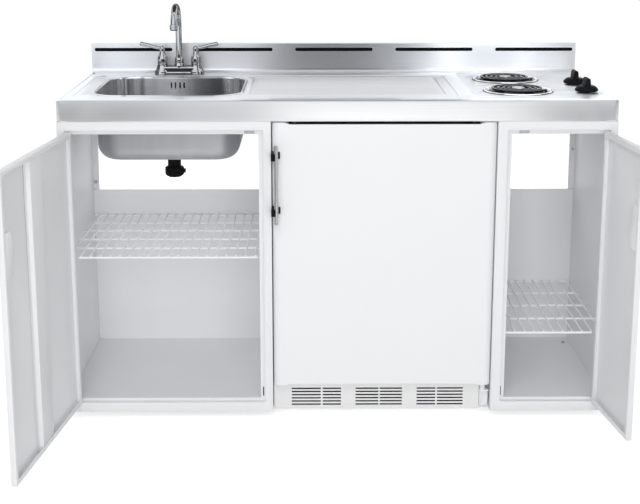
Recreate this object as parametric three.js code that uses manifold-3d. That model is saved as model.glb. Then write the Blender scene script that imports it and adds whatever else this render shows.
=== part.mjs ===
// A compact fitted kitchen unit: a pressed steel worktop with sink, drainer, tap and two coil
// burners, standing on two sheet-metal cupboards with a small refrigerator between them.
// Both cupboard doors stand open. Millimetres, +X to the right, +Y to the back, +Z up.
// The origin is on the floor, under the middle of the unit's overall box.

import * as THREE from 'three';
import { mergeVertices } from 'three/addons/utils/BufferGeometryUtils.js';
import Module from 'manifold-3d';

// ---------- Driving dimensions ----------

// Whole unit
const unitWidth = 1524;
const worktopHeight = 914.4;
const leftCupboardWidth = 580;
const rightCupboardWidth = 326;
const seat = 0.3;                 // gap left between pieces that touch

// Worktop sheet, its turned-down apron and the pressed trays
const worktopDepth = 600.6;
const steelSheet = 1.5;
const apronDepth = 58.5;
const apronReturn = 22;
const apronCorner = 14;
const apronEdge = 4;
const coveRadius = 12;
const trayDepth = 2;
const traySlope = 4;
const trayCorner = 40;
const sinkTrayInset = 30;         // from the left end of the worktop
const sinkTrayFront = 58;
const sinkTrayBack = 518;
const hobTrayInset = 17;          // from the right end of the worktop
const hobTrayWidth = 367;
const hobTrayFront = 82;
const hobTrayBack = 582;

// Drainer field beside the bowl
const drainerLength = 554;
const drainerGap = 15;            // from the bowl's rim
const drainerFront = 124;
const drainerWidth = 361;
const drainerRibs = 10;
const drainerDepth = 2.5;
const ribWidth = 14;

// Backsplash, a hollow duct with slots
const splashHeight = 91;
const splashThickness = 25;
const splashEdge = 3;
const splashSlots = 5;
const slotLength = 244;
const slotHeight = 10.7;
const slotPitch = 315;
const slotDrop = 20;

// Sink bowl and its waste
const bowlInset = 80.5;           // from the left end of the worktop to the bowl's mouth
const bowlLength = 410;
const bowlWidth = 386;
const bowlFront = 98;
const bowlDepth = 190;
const bowlCorner = 75;
const bowlFloorRadius = 42;
const bowlDraft = 4;
const bowlFall = 5;
const bowlSheet = 1.2;
const bowlRim = 9;
const overflowSlots = 4;
const overflowPitch = 13;
const wasteRadius = 15;
const tailRadius = 19.5;
const tailLength = 74;
const wasteNutRadius = 28;
const wasteNutHeight = 27;

// Tap
const tapSetback = 53.5;          // from the backsplash to the tap's axis
const tapBodyLength = 154;
const tapBodyWidth = 49;
const tapBridgeHeight = 27;
const tapPostHeight = 29;
const tapCollarHeight = 37;
const tapHandlePitch = 104;
const tapHubRadius = 15;
const tapTubeRadius = 9.5;
const tapArcRadius = 70;
const tapRise = 145;              // deck to the centre of the spout's arc
const tapArcAngle = 170;
const leverLength = 62;
const leverRise = 53;             // top of a post to the root of its lever

// Coil burners
const burnerInset = 246;          // from the right end of the worktop
const burnerFrontAt = 189;
const burnerPitch = 243;
const dripRadius = 98;
const dripDepth = 28;
const coilTube = 4;
const coilInner = 24;
const coilOuter = 78.5;
const coilRise = 8.6;             // hob tray to the coil's centre line
const medallionRadius = 18;
const underpanSetback = 40.6;      // from the worktop's rear edge

// Burner knobs and their switches
const knobInset = 58;             // from the right end of the worktop
const knobFrontAt = 157;
const knobPitch = 165;
const knobRadius = 32.5;
const knobSkirt = 16;
const gripWidth = 14;
const gripHeight = 22;
const switchSize = 38;
const switchHeight = 28;

// Cupboards
const cupboardSetback = 3;
const cupboardDepth = 532.3;
const cupboardSheet = 2;
const plinthGap = 20;
const cupboardFloor = 53.8;       // height of the floor panel's top
const hingeStile = 20;
const leftLatchStile = 22;
const rightLatchStile = 27.5;
const topRail = 24;
const bottomRail = 27.6;
const ledgeSetback = 17;
const ledgeWidth = 13;
const ledgeLip = 7.4;
const backPanelTop = 551;
const backFlange = 20;
const footRadius = 17;
const footInset = 70;

// Cupboard doors, folded pans hung on butt hinges
const doorOpen = 97;              // degrees
const doorThickness = 15;
const doorSheet = 1.5;
const doorFlange = 14;
const doorGap = 2;
const pullLength = 126;
const pullWidth = 56;
const pullCentre = 620;
const pullEdge = 9;
const stiffenerAt = 288;
const stiffenerWidth = 120;
const hingeHeight = 48;
const hingeInset = 16;
const hingeLeaf = 0.9;
const knuckleRadius = 3;
const catchLength = 28;

// Wire shelves
const leftShelfHeight = 467;
const leftCrossWires = 6;
const rightShelfHeight = 244;
const rightCrossWires = 5;
const shelfFront = 31;
const shelfWirePitch = 27;
const thickWire = 3;
const thinWire = 1.7;
const frontWireInset = 37;
const shelfPin = 3;

// Refrigerator
const fridgeFront = 52;           // front of its cabinet, behind the door
const fridgeDepth = 500;
const fridgeBottom = 98;
const fridgeTop = 850;
const fridgeWall = 38;
const fridgeFoot = 12;
const linerSheet = 1.8;
const humpDepth = 130;
const humpHeight = 165;
const fridgeShelfHeight = 440;
const freezerHeight = 112;
const compressorRadius = 62;
const fridgeDoorThickness = 44;
const fridgeDoorGap = 2.5;
const fridgeDoorBottom = 102;
const fridgeDoorTop = 849;
const fridgeDoorCorner = 20;
const cornerBoss = 4.5;
const cornerBossLength = 34;
const dykeInset = 54;
const dykeDepth = 34;
const rackDepth = 72;
const handleLength = 219;
const handleCentre = 687;
const handleReach = 35;
const handleRadius = 5.3;
const handlePostPitch = 154;
const grilleRecess = 28;
const grilleBottom = 17;
const grilleTop = 95;
const grilleRows = 6;
const grillePitch = 9.6;
const grilleSlot = 4.6;
const grilleSlots = [             // where each slot starts and ends, from the grille's left end
  [50, 133], [138.5, 191], [232.5, 298], [302, 365.5], [407.5, 461], [466, 540]];
const hingeBracketWidth = 24;

// ---------- Positions that follow from them ----------

const unitLeft = -unitWidth / 2;
const unitRight = unitWidth / 2;
const bayLeft = unitLeft + leftCupboardWidth;
const bayRight = unitRight - rightCupboardWidth;
const apronBottom = worktopHeight - apronDepth;
const cupboardTop = apronBottom - seat;
const sinkTrayLeft = unitLeft + sinkTrayInset;
const bowlLeft = unitLeft + bowlInset;
const bowlX = bowlLeft + bowlLength / 2;
const bowlY = bowlFront + bowlWidth / 2;
const drainerLeft = bowlLeft + bowlLength + bowlRim + drainerGap;
const sinkTrayRight = drainerLeft + drainerLength + 2 * drainerGap;
const trayFloor = worktopHeight - trayDepth;
const bowlMouth = trayFloor + seat + bowlSheet;
const bowlBottom = bowlMouth - bowlDepth;
const hobTrayRight = unitRight - hobTrayInset;
const hobTrayLeft = hobTrayRight - hobTrayWidth;
const burnerX = unitRight - burnerInset;
const knobX = unitRight - knobInset;
const tapX = bowlX - 5;
const tapY = worktopDepth - tapSetback;
const frameFront = cupboardSetback;
const ledgeFront = frameFront + ledgeSetback;
const cupboardBack = frameFront + cupboardDepth;
const backPanelFront = cupboardBack - 2 * cupboardSheet - seat;
const doorBottom = plinthGap + bottomRail + doorGap;
const doorTop = cupboardTop - topRail - doorGap;
const hingeGap = 2 * hingeLeaf + 3 * seat;
const pinY = frameFront - knuckleRadius - 1;
const fridgeLeft = bayLeft + seat;
const fridgeRight = bayRight - seat;
const fridgeBack = fridgeFront + fridgeDepth;
const fridgeDoorLeft = fridgeLeft + fridgeDoorGap;
const fridgeDoorRight = fridgeRight - fridgeDoorGap / 2;
const fridgePinX = fridgeDoorRight - fridgeDoorCorner;
const fridgePinY = fridgeDoorCorner;
const fridgePinRadius = 4;

// ---------- Solids from three.js shapes ----------

const wasm = await Module();
wasm.setup();

// Merge a geometry's corners, drop collapsed faces and turn the faces out.
function solid(geometry) {
  const bare = new THREE.BufferGeometry();
  bare.setAttribute('position', geometry.attributes.position);
  bare.setIndex(geometry.index);
  const merged = mergeVertices(bare, 1e-4);
  const place = merged.attributes.position;
  const corners = merged.index.array;
  const [a, b, c] = [new THREE.Vector3(), new THREE.Vector3(), new THREE.Vector3()];
  const faces = [];
  let volume = 0;
  for (let i = 0; i < corners.length; i += 3) {
    const [p, q, r] = corners.slice(i, i + 3);
    if (p === q || q === r || r === p) continue;
    faces.push(p, q, r);
    volume += a.fromBufferAttribute(place, p).dot(
      b.fromBufferAttribute(place, q).cross(c.fromBufferAttribute(place, r)));
  }
  if (volume < 0) faces.reverse();
  return new wasm.Manifold(new wasm.Mesh({
    numProp: 3,
    vertProperties: Float32Array.from(place.array),
    triVerts: Uint32Array.from(faces),
  }));
}

const join = (...solids) => solids.reduce((whole, piece) => whole.add(piece));
const cut = (base, ...tools) => tools.reduce((rest, tool) => rest.subtract(tool), base);

function box(x0, x1, y0, y1, z0, z1) {
  const block = new THREE.BoxGeometry(Math.abs(x1 - x0), Math.abs(y1 - y0), Math.abs(z1 - z0));
  return solid(block.translate((x0 + x1) / 2, (y0 + y1) / 2, (z0 + z1) / 2));
}

// A rectangle with round corners, as an outline.
function roundRect(x0, y0, x1, y1, radius) {
  const [left, right] = [Math.min(x0, x1), Math.max(x0, x1)];
  const r = Math.min(radius, (right - left) / 2, (y1 - y0) / 2);
  const shape = new THREE.Shape();
  shape.absarc(right - r, y1 - r, r, 0, Math.PI / 2);
  shape.absarc(left + r, y1 - r, r, Math.PI / 2, Math.PI);
  shape.absarc(left + r, y0 + r, r, Math.PI, 1.5 * Math.PI);
  shape.absarc(right - r, y0 + r, r, 1.5 * Math.PI, 2 * Math.PI);
  return shape;
}

function outline(points) {
  return new THREE.Shape(points.map(([x, y]) => new THREE.Vector2(x, y)));
}

function extrude(shape, depth, curveSegments) {
  return new THREE.ExtrudeGeometry(shape, { depth, bevelEnabled: false, curveSegments });
}

// An outline drawn in plan (X, Y), raised from z0 to z1.
function risen(shape, z0, z1, steps = 5) {
  return solid(extrude(shape, z1 - z0, steps).translate(0, 0, z0));
}

// An outline drawn as seen from the front (X, Z), pushed back from y0 to y1.
function pushed(shape, y0, y1, steps = 4) {
  return solid(extrude(shape, y1 - y0, steps).rotateX(Math.PI / 2).translate(0, y1, 0));
}

// An outline drawn as seen from the right (Y, Z), carried along from x0 to x1.
function carried(shape, x0, x1, steps = 4) {
  const turn = new THREE.Matrix4().makeBasis(
    new THREE.Vector3(0, 1, 0), new THREE.Vector3(0, 0, 1), new THREE.Vector3(1, 0, 0));
  return solid(extrude(shape, x1 - x0, steps).applyMatrix4(turn).translate(x0, 0, 0));
}

// An upright rod.
function rod(radius, x, y, z0, z1, sides = 12) {
  const cylinder = new THREE.CylinderGeometry(radius, radius, z1 - z0, sides);
  return solid(cylinder.rotateX(Math.PI / 2).translate(x, y, (z0 + z1) / 2));
}

function rodAlongX(radius, x0, x1, y, z, sides = 8) {
  const cylinder = new THREE.CylinderGeometry(radius, radius, Math.abs(x1 - x0), sides);
  return solid(cylinder.rotateY(Math.PI / sides).rotateZ(Math.PI / 2).translate((x0 + x1) / 2, y, z));
}

// A profile of [radius, height] pairs turned about the upright axis.
function turned(profile, segments = 24) {
  const points = profile.map(([radius, height]) => new THREE.Vector2(radius, height));
  return solid(new THREE.LatheGeometry(points, segments).rotateX(Math.PI / 2));
}

// A ring of points round a rectangle with round corners; a circle when radius is the half size.
function ring(x, y, halfX, halfY, radius, z, steps = 5) {
  const points = [];
  for (const [quarter, sx, sy] of [[0, 1, 1], [1, -1, 1], [2, -1, -1], [3, 1, -1]]) {
    for (let i = 0; i <= steps; i++) {
      const angle = (quarter + i / steps) * Math.PI / 2;
      points.push(new THREE.Vector3(
        x + sx * (halfX - radius) + radius * Math.cos(angle),
        y + sy * (halfY - radius) + radius * Math.sin(angle),
        z));
    }
  }
  return points;
}

// Rings of equal count joined in order: a capped body, or a shell whose last ring meets the first.
function loft(rings, looped = false) {
  const count = rings[0].length;
  const faces = [];
  const levels = looped ? rings.length : rings.length - 1;
  for (let level = 0; level < levels; level++) {
    const low = level * count;
    const high = ((level + 1) % rings.length) * count;
    for (let i = 0; i < count; i++) {
      const next = (i + 1) % count;
      faces.push(low + i, low + next, high + next, low + i, high + next, high + i);
    }
  }
  const top = (rings.length - 1) * count;
  for (let i = 1; !looped && i < count - 1; i++) {
    faces.push(0, i + 1, i, top, top + i, top + i + 1);
  }
  const geometry = new THREE.BufferGeometry().setFromPoints(rings.flat());
  geometry.setIndex(faces);
  return solid(geometry);
}

// A round tube along a list of points.
function tube(points, radius, sides, steps) {
  const section = new THREE.Shape();
  for (let i = 0; i < sides; i++) {
    const angle = 2 * Math.PI * (i + 0.5) / sides;
    const [x, y] = [radius * Math.cos(angle), radius * Math.sin(angle)];
    if (i === 0) section.moveTo(x, y);
    else section.lineTo(x, y);
  }
  const path = new THREE.CatmullRomCurve3(points.map((p) => new THREE.Vector3(...p)));
  return solid(new THREE.ExtrudeGeometry(section, { extrudePath: path, steps }));
}

// ---------- Materials ----------

const finish = (color, roughness, metalness = 0) =>
  new THREE.MeshStandardMaterial({ color, roughness, metalness });
const brushedSteel = () => finish(0xc9cbcd, 0.35, 1);
const chrome = () => finish(0xe4e6e8, 0.08, 1);
const whiteEnamel = () => finish(0xeeeff0, 0.35);
const whiteWire = () => finish(0xf4f4f4, 0.4);
const fridgeWhite = () => finish(0xf0f2f4, 0.3);
const linerPlastic = () => finish(0xf3f3f1, 0.45);
const blackPlastic = () => finish(0x141416, 0.45);
const coilBlack = () => finish(0x1b1b1d, 0.6, 0.4);
const zincSteel = () => finish(0xb4b6b8, 0.4, 1);
const gasketRubber = () => finish(0xe6e6e4, 0.7);

// ---------- Scene graph ----------

const unit = new THREE.Group();

function addNode(name, shape, material, parent = unit) {
  const { vertProperties, triVerts } = shape.getMesh();
  const geometry = new THREE.BufferGeometry();
  geometry.setAttribute('position', new THREE.BufferAttribute(vertProperties, 3));
  geometry.setIndex(new THREE.BufferAttribute(triVerts, 1));
  geometry.computeVertexNormals();
  const mesh = new THREE.Mesh(geometry, material);
  mesh.name = name;
  parent.add(mesh);
  return mesh;
}

// ---------- Worktop ----------

// A tray pressed into the sheet: its walls slope in to the floor.
function trayVolume(left, right, front, back, floor, top, grow) {
  const level = (shrink, z) => ring(
    (left + right) / 2, (front + back) / 2,
    (right - left) / 2 - shrink, (back - front) / 2 - shrink, trayCorner - shrink, z);
  const rise = traySlope * (top - worktopHeight) / (worktopHeight - floor);
  return loft([level(traySlope - grow, floor), level(-grow - rise, top)]);
}

function pressTray(deck, left, right, front, back) {
  const above = worktopHeight + 1;
  const pan = trayVolume(left, right, front, back, trayFloor - steelSheet, worktopHeight, steelSheet);
  return cut(deck.add(pan), trayVolume(left, right, front, back, trayFloor, above, 0));
}

function makeWorktop() {
  const skin = new THREE.ExtrudeGeometry(
    roundRect(unitLeft, 0, unitRight, worktopDepth, apronCorner),
    { depth: apronDepth, bevelThickness: apronEdge, bevelSize: apronEdge, bevelOffset: -apronEdge,
      bevelSegments: 3, curveSegments: 5 });
  const inner = roundRect(unitLeft + steelSheet, steelSheet, unitRight - steelSheet,
    worktopDepth - steelSheet, apronCorner - steelSheet);
  const mouth = roundRect(unitLeft + apronReturn, apronReturn, unitRight - apronReturn,
    worktopDepth - apronReturn, 2);
  let deck = solid(skin.translate(0, 0, apronBottom - apronEdge));
  deck = cut(deck,
    box(unitLeft - 1, unitRight + 1, -1, worktopDepth + 1, apronBottom - 2 * apronEdge, apronBottom),
    risen(inner, apronBottom + steelSheet, worktopHeight - steelSheet),
    risen(mouth, apronBottom - 1, apronBottom + 2 * steelSheet));

  // The rear corners are square, and a cove turns up to the backsplash.
  const cornerBlocks = [unitLeft, unitRight - apronCorner].map((x) =>
    box(x, x + apronCorner, worktopDepth - apronCorner, worktopDepth,
      apronBottom, worktopHeight));
  const cove = new THREE.Shape();
  cove.moveTo(worktopDepth, worktopHeight - steelSheet);
  cove.lineTo(worktopDepth - coveRadius, worktopHeight - steelSheet);
  cove.lineTo(worktopDepth - coveRadius, worktopHeight);
  cove.absarc(worktopDepth - coveRadius, worktopHeight + coveRadius, coveRadius - 0.8,
    -Math.PI / 2, 0, false);
  cove.lineTo(worktopDepth, worktopHeight + coveRadius);
  deck = join(deck, ...cornerBlocks, carried(cove, unitLeft, unitRight, 5));

  deck = pressTray(deck, sinkTrayLeft, sinkTrayRight, sinkTrayFront, sinkTrayBack);
  deck = pressTray(deck, hobTrayLeft, hobTrayRight, hobTrayFront, hobTrayBack);
  deck = pressDrainer(deck);

  const bowlHole = bowlSheet + 2 * seat;
  deck = cut(deck,
    risen(roundRect(bowlLeft - bowlHole, bowlFront - bowlHole, bowlLeft + bowlLength + bowlHole,
      bowlFront + bowlWidth + bowlHole, bowlCorner + bowlHole), trayFloor - 20, worktopHeight + 1),
    ...burnerPlaces().map(([x, y]) => rod(dripRadius - 6, x, y, trayFloor - 20, trayFloor + 1, 24)),
    ...knobPlaces().map(([x, y]) => rod(5, x, y, trayFloor - 20, trayFloor + 1)),
    ...[-1, 0, 1].map((side) => rod(10, tapX + side * tapHandlePitch / 2, tapY,
      worktopHeight - 20, worktopHeight + 1)));
  return deck;
}

// The drainer: a sunk field with long rounded ribs that lead water to the bowl.
function pressDrainer(deck) {
  const field = [drainerLeft, drainerLeft + drainerLength, drainerFront, drainerFront + drainerWidth];
  const floor = trayFloor - drainerDepth;
  const wall = steelSheet;
  const pan = box(field[0] - wall, field[1] + wall, field[2] - wall, field[3] + wall,
    floor - steelSheet, trayFloor);
  const hollow = box(...field, floor, trayFloor + 1);
  const pitch = drainerWidth / drainerRibs;
  const rib = new THREE.Shape();
  rib.moveTo(ribWidth / 2, floor - 1);
  rib.lineTo(ribWidth / 2, floor);
  rib.quadraticCurveTo(ribWidth / 4, trayFloor, 0, trayFloor);
  rib.quadraticCurveTo(-ribWidth / 4, trayFloor, -ribWidth / 2, floor);
  rib.lineTo(-ribWidth / 2, floor - 1);
  const ribs = Array.from({ length: drainerRibs }, (_, i) =>
    carried(rib, field[0] + drainerGap, field[1] - drainerGap, 3)
      .translate([0, drainerFront + (i + 0.5) * pitch, 0]));
  return join(cut(deck.add(pan), hollow), ...ribs);
}

const burnerPlaces = () => [0, 1].map((i) => [burnerX, burnerFrontAt + i * burnerPitch]);
const knobPlaces = () => [0, 1].map((i) => [knobX, knobFrontAt + i * knobPitch]);

addNode('worktop', makeWorktop(), brushedSteel());

// ---------- Backsplash ----------

function makeBacksplash() {
  const front = worktopDepth + seat;
  const back = front + splashThickness;
  const top = worktopHeight + splashHeight;
  const section = new THREE.Shape();
  section.moveTo(front, apronBottom);
  section.lineTo(front, top - splashEdge);
  section.absarc(front + splashEdge, top - splashEdge, splashEdge, Math.PI, Math.PI / 2, true);
  section.absarc(back - splashEdge, top - splashEdge, splashEdge, Math.PI / 2, 0, true);
  section.lineTo(back, apronBottom);
  const hollow = box(unitLeft + steelSheet, unitRight - steelSheet, front + steelSheet,
    back - steelSheet, apronBottom - 1, top - steelSheet);
  const slots = Array.from({ length: splashSlots }, (_, i) => {
    const x = (i - (splashSlots - 1) / 2) * slotPitch;
    const z = top - slotDrop;
    return pushed(roundRect(x - slotLength / 2, z - slotHeight / 2, x + slotLength / 2,
      z + slotHeight / 2, slotHeight / 2), front - 1, front + 2 * steelSheet);
  });
  return cut(carried(section, unitLeft, unitRight, 3), hollow, ...slots);
}

addNode('backsplash', makeBacksplash(), brushedSteel());

// ---------- Sink bowl and waste ----------

// Inner surface of the bowl from mouth to waste hole, as [inset, height, slope in degrees].
function bowlSections() {
  const sections = [[0, bowlMouth - 1, 0]];
  const turn = [0, 22, 45, 68, 90];
  for (const slope of turn) {
    const angle = THREE.MathUtils.degToRad(slope);
    sections.push([
      bowlDraft + bowlFloorRadius * (1 - Math.cos(angle)),
      bowlBottom + bowlFloorRadius * (1 - Math.sin(angle)) + bowlSheet,
      slope]);
  }
  return sections;
}

function makeBowl() {
  const [halfX, halfY] = [bowlLength / 2, bowlWidth / 2];
  const level = (inset, z) =>
    ring(bowlX, bowlY, halfX - inset, halfY - inset, Math.max(bowlCorner - inset, 8), z, 5);
  const drain = (radius, z) => ring(bowlX, bowlY, radius, radius, radius, z, 5);
  const inside = bowlSections().map(([inset, z]) => level(inset, z));
  const outside = bowlSections().map(([inset, z, slope]) => {
    const angle = THREE.MathUtils.degToRad(slope);
    return level(inset - bowlSheet * Math.cos(angle), z - bowlSheet * Math.sin(angle));
  });
  const floor = bowlBottom - bowlFall;
  const shell = loft([
    level(-bowlRim, trayFloor + seat),
    level(-bowlRim, bowlMouth),
    level(-2, bowlMouth + 1),
    ...inside,
    drain(wasteRadius + 22, floor + bowlSheet),
    drain(wasteRadius + 1, floor + bowlSheet),
    drain(wasteRadius + 1, floor),
    drain(wasteRadius + 22, floor),
    ...outside.reverse(),
    level(-bowlSheet, trayFloor + seat),
  ], true);

  // Overflow: upright slots high in the rear wall.
  const slots = Array.from({ length: overflowSlots }, (_, i) => {
    const x = tapX + (i - (overflowSlots - 1) / 2) * overflowPitch;
    return box(x - 2, x + 2, bowlY + halfY - 12, bowlY + halfY + 12,
      bowlMouth - 34, bowlMouth - 15);
  });
  return cut(shell, ...slots);
}

addNode('sink_bowl', makeBowl(), brushedSteel());

// Waste fitting: a flanged cup with a perforated grid, screwed through the bowl.
function makeStrainer() {
  const top = bowlBottom - bowlFall + bowlSheet + seat;
  const inner = wasteRadius - 2.5;
  const body = turned([
    [0, -9], [0, -7], [inner, -7], [inner, 0.2], [inner + 4, 1.5], [wasteRadius + 19, 1.5],
    [wasteRadius + 20, 0], [wasteRadius, 0], [wasteRadius, -24], [inner, -24], [inner, -9], [0, -9],
  ], 16);
  const holes = Array.from({ length: 6 }, (_, i) => {
    const angle = i * Math.PI / 3;
    return rod(2.6, 7.5 * Math.cos(angle), 7.5 * Math.sin(angle), -10, -6, 6);
  });
  return cut(body, ...holes).translate([bowlX, bowlY, top]);
}

addNode('sink_strainer', makeStrainer(), chrome());

const tailTop = bowlBottom - bowlFall - seat;
const tail = turned([
  [wasteRadius + seat, 0], [tailRadius + 9, 0], [tailRadius + 9, -4], [tailRadius, -7],
  [tailRadius, -tailLength], [wasteRadius + seat, -tailLength], [wasteRadius + seat, 0],
], 20);
addNode('drain_tailpiece', tail.translate([bowlX, bowlY, tailTop]), blackPlastic());

function makeWasteNut() {
  const bore = tailRadius + seat;
  const ringBody = turned([
    [bore, 0], [wasteNutRadius - 4, 0], [wasteNutRadius, 5], [wasteNutRadius, wasteNutHeight - 3],
    [wasteNutRadius - 3, wasteNutHeight], [bore, wasteNutHeight], [bore, 0],
  ], 20);
  const ear = box(wasteNutRadius - 3, wasteNutRadius + 5, -4, 4, 8, 20);
  return ringBody.add(ear);
}

const wasteNutBase = tailTop - tailLength + 3;
addNode('drain_nut', makeWasteNut().translate([bowlX, bowlY, wasteNutBase]), blackPlastic());

// ---------- Tap ----------

// A bridge between two flanged posts, with a bored collar for the spout in the middle.
function makeTapBody() {
  const [halfX, halfY] = [tapBodyLength / 2, tapBodyWidth / 2];
  const high = tapBridgeHeight;
  const level = (inset, z) => ring(0, 0, halfX - inset, halfY - inset, halfY - inset, z);
  const bridge = loft([level(0, 0), level(0, 2), level(6, 7), level(10, 14), level(11, high - 3),
    level(14, high)]);
  const posts = [-1, 1].map((side) => turned([
    [0, 0], [halfY, 0], [halfY, 3], [halfY - 6, 10], [tapHubRadius + 1, 20],
    [tapHubRadius, tapPostHeight], [0, tapPostHeight],
  ], 16).translate([side * tapHandlePitch / 2, 0, 0]));
  const collar = turned([
    [0, 0], [tapHubRadius + 2, 0], [tapHubRadius + 2, high - 4], [tapHubRadius - 1, tapCollarHeight],
    [0, tapCollarHeight]], 16);
  const bore = rod(tapTubeRadius + seat, 0, 0, high / 2, tapCollarHeight + 1, 16);
  return cut(join(bridge, ...posts, collar), bore);
}

const tapBase = worktopHeight + seat;
addNode('tap_body', makeTapBody().translate([tapX, tapY, tapBase]), chrome());

// The gooseneck: a straight riser, then an arc that reaches forward over the bowl.
function makeSpout() {
  const centre = tapRise - seat;
  const points = [[0, 0, 14], [0, 0, 50], [0, 0, centre - 40], [0, 0, centre - 12]];
  const turns = 12;
  for (let i = 0; i <= turns; i++) {
    const angle = THREE.MathUtils.degToRad(i / turns * tapArcAngle);
    points.push([0, -tapArcRadius * (1 - Math.cos(angle)), centre + tapArcRadius * Math.sin(angle)]);
  }
  const pipe = tube(points, tapTubeRadius, 8, 34);
  const nut = turned([
    [0, 0], [14, 0], [14, 10], [11, 15], [0, 17]], 16).translate([0, 0, tapCollarHeight + seat]);
  const end = THREE.MathUtils.degToRad(tapArcAngle);
  const aerator = new THREE.CylinderGeometry(12, 12, 17, 14)
    .rotateX(Math.PI - end + Math.PI / 2 + Math.PI / 2)
    .translate(0, -tapArcRadius * (1 - Math.cos(end)), centre + tapArcRadius * Math.sin(end) + 1);
  return join(pipe, nut, solid(aerator));
}

addNode('tap_spout', makeSpout().translate([tapX, tapY, tapBase]), chrome());

// A lever handle: a domed hub, a narrow neck and a lever that points outwards (side -1 or 1).
function makeTapHandle(side) {
  const root = leverRise;
  const hub = turned([
    [0, 0], [tapHubRadius, 0], [tapHubRadius, root - 32], [tapHubRadius - 3, root - 24],
    [9, root - 19], [8, root - 10], [9, root - 2], [7, root + 4], [0, root + 6]], 12);
  const lever = tube([
    [0, 0, root - 1], [side * 14, 0, root + 1], [side * leverLength * 0.6, 0, root + 7],
    [side * leverLength, 0, root + 12]], 5, 6, 5);
  const tip = new THREE.SphereGeometry(7.5, 8, 6).translate(side * leverLength, 0, root + 12);
  return join(hub, lever, solid(tip)).translate([0, 0, tapPostHeight + seat]);
}

for (const [name, side] of [['tap_handle_hot', -1], ['tap_handle_cold', 1]]) {
  const handle = addNode(name, makeTapHandle(side), chrome());
  handle.position.set(tapX + side * tapHandlePitch / 2, tapY, tapBase);
}

// ---------- Coil burners ----------

const ledgeDrop = 4;              // hob tray to the ledge inside the drip bowl
const armHeight = coilRise - coilTube + ledgeDrop - 2 * seat;

function makeDripBowl() {
  const lip = dripRadius - 8;
  const ledge = dripRadius - 18;
  const bowl = turned([
    [dripRadius, seat], [dripRadius, 2.5], [dripRadius - 2, 4.2], [lip + 2, 4.2], [lip, 2.5],
    [lip - 0.5, -ledgeDrop], [ledge, -ledgeDrop], [ledge - 4, 8 - dripDepth],
    [62, 1 - dripDepth], [22, -dripDepth], [22, -dripDepth - 1], [62, -dripDepth],
    [ledge - 3, 7.4 - dripDepth], [ledge + 1, -ledgeDrop - 1], [lip + 0.5, -ledgeDrop - 1],
    [lip + 1, seat], [dripRadius, seat],
  ], 24);
  // The element's two leads leave through a notch towards the knobs.
  return cut(bowl, box(ledge - 12, lip - 1, -20, 20, -dripDepth + 3, -ledgeDrop + 0.5));
}

// One continuous tube: in along a lead, round the spiral, and out along the other lead.
const leadDrop = 14.4;            // hob tray to the leads
const leadEnd = dripRadius + 6;
const leadSpacing = 18;
const spiralStart = 90;           // degrees
const spiralTurns = 3.67;

function coilPoints() {
  const half = leadSpacing / 2;
  const low = -leadDrop;
  const high = coilRise;
  const points = [
    [leadEnd, half, low], [leadEnd - 12, half, low], [82, half + 0.5, low + 0.5],
    [72, 12, low + 2.5], [58, 18, low + 4], [42, coilInner - 1, low + 4.2], [30, coilInner, low + 5],
    [20, coilInner, low + 9], [10, coilInner, low + 17.5],
  ];
  const steps = Math.round(24 * spiralTurns);
  for (let i = 0; i <= steps; i++) {
    const angle = THREE.MathUtils.degToRad(spiralStart + 360 * spiralTurns * i / steps);
    const radius = coilInner + (coilOuter - coilInner) * i / steps;
    points.push([radius * Math.cos(angle), radius * Math.sin(angle), high]);
  }
  points.push(
    [75.5, -24, high - 2], [77, -14.5, high - 9], [78, -10, low + 5],
    [84, -half, low + 0.5], [leadEnd - 12, -half, low], [leadEnd, -half, low]);
  return points;
}

// Least gap between two stretches of a round tube that lie further apart along it than `skip`.
function leastGap(points, diameter, skip) {
  const path = new THREE.CatmullRomCurve3(points.map((p) => new THREE.Vector3(...p)));
  const samples = path.getSpacedPoints(500);
  const step = path.getLength() / 500;
  let least = Infinity;
  for (let i = 0; i < samples.length; i++) {
    for (let j = i + Math.ceil(skip / step); j < samples.length; j++) {
      least = Math.min(least, samples[i].distanceTo(samples[j]));
    }
  }
  return least - diameter;
}

const coil = tube(coilPoints(), coilTube, 6, 104);
console.log(`burner coil: least gap to itself ${leastGap(coilPoints(), 2 * coilTube, 30).toFixed(2)} mm`);

// Three radial arms on edge carry the coil, with a small medallion over their crossing.
function makeSpider() {
  const low = -ledgeDrop + seat;
  const armLength = dripRadius - 10;
  const arms = [30, 150, 270].map((turn) =>
    box(0, armLength, -0.8, 0.8, low, low + armHeight).rotate([0, 0, turn]));
  const medallion = turned([
    [0, low], [7, low], [7, low + armHeight - 1], [medallionRadius, low + armHeight - 1],
    [medallionRadius, coilRise + 1], [medallionRadius - 3, coilRise + 2.6], [0, coilRise + 3]], 20);
  return join(medallion, ...arms);
}

burnerPlaces().forEach(([x, y], i) => {
  const where = ['front', 'rear'][i];
  addNode(`drip_bowl_${where}`, makeDripBowl(), chrome()).position.set(x, y, trayFloor);
  addNode(`burner_coil_${where}`, coil, coilBlack()).position.set(x, y, trayFloor);
  addNode(`burner_spider_${where}`, makeSpider(), zincSteel()).position.set(x, y, trayFloor);
});

// ---------- Knobs, switches and the pan under the hob ----------

const knobLift = 4;               // hob tray to the knob's skirt
const stemRadius = 3;

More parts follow.
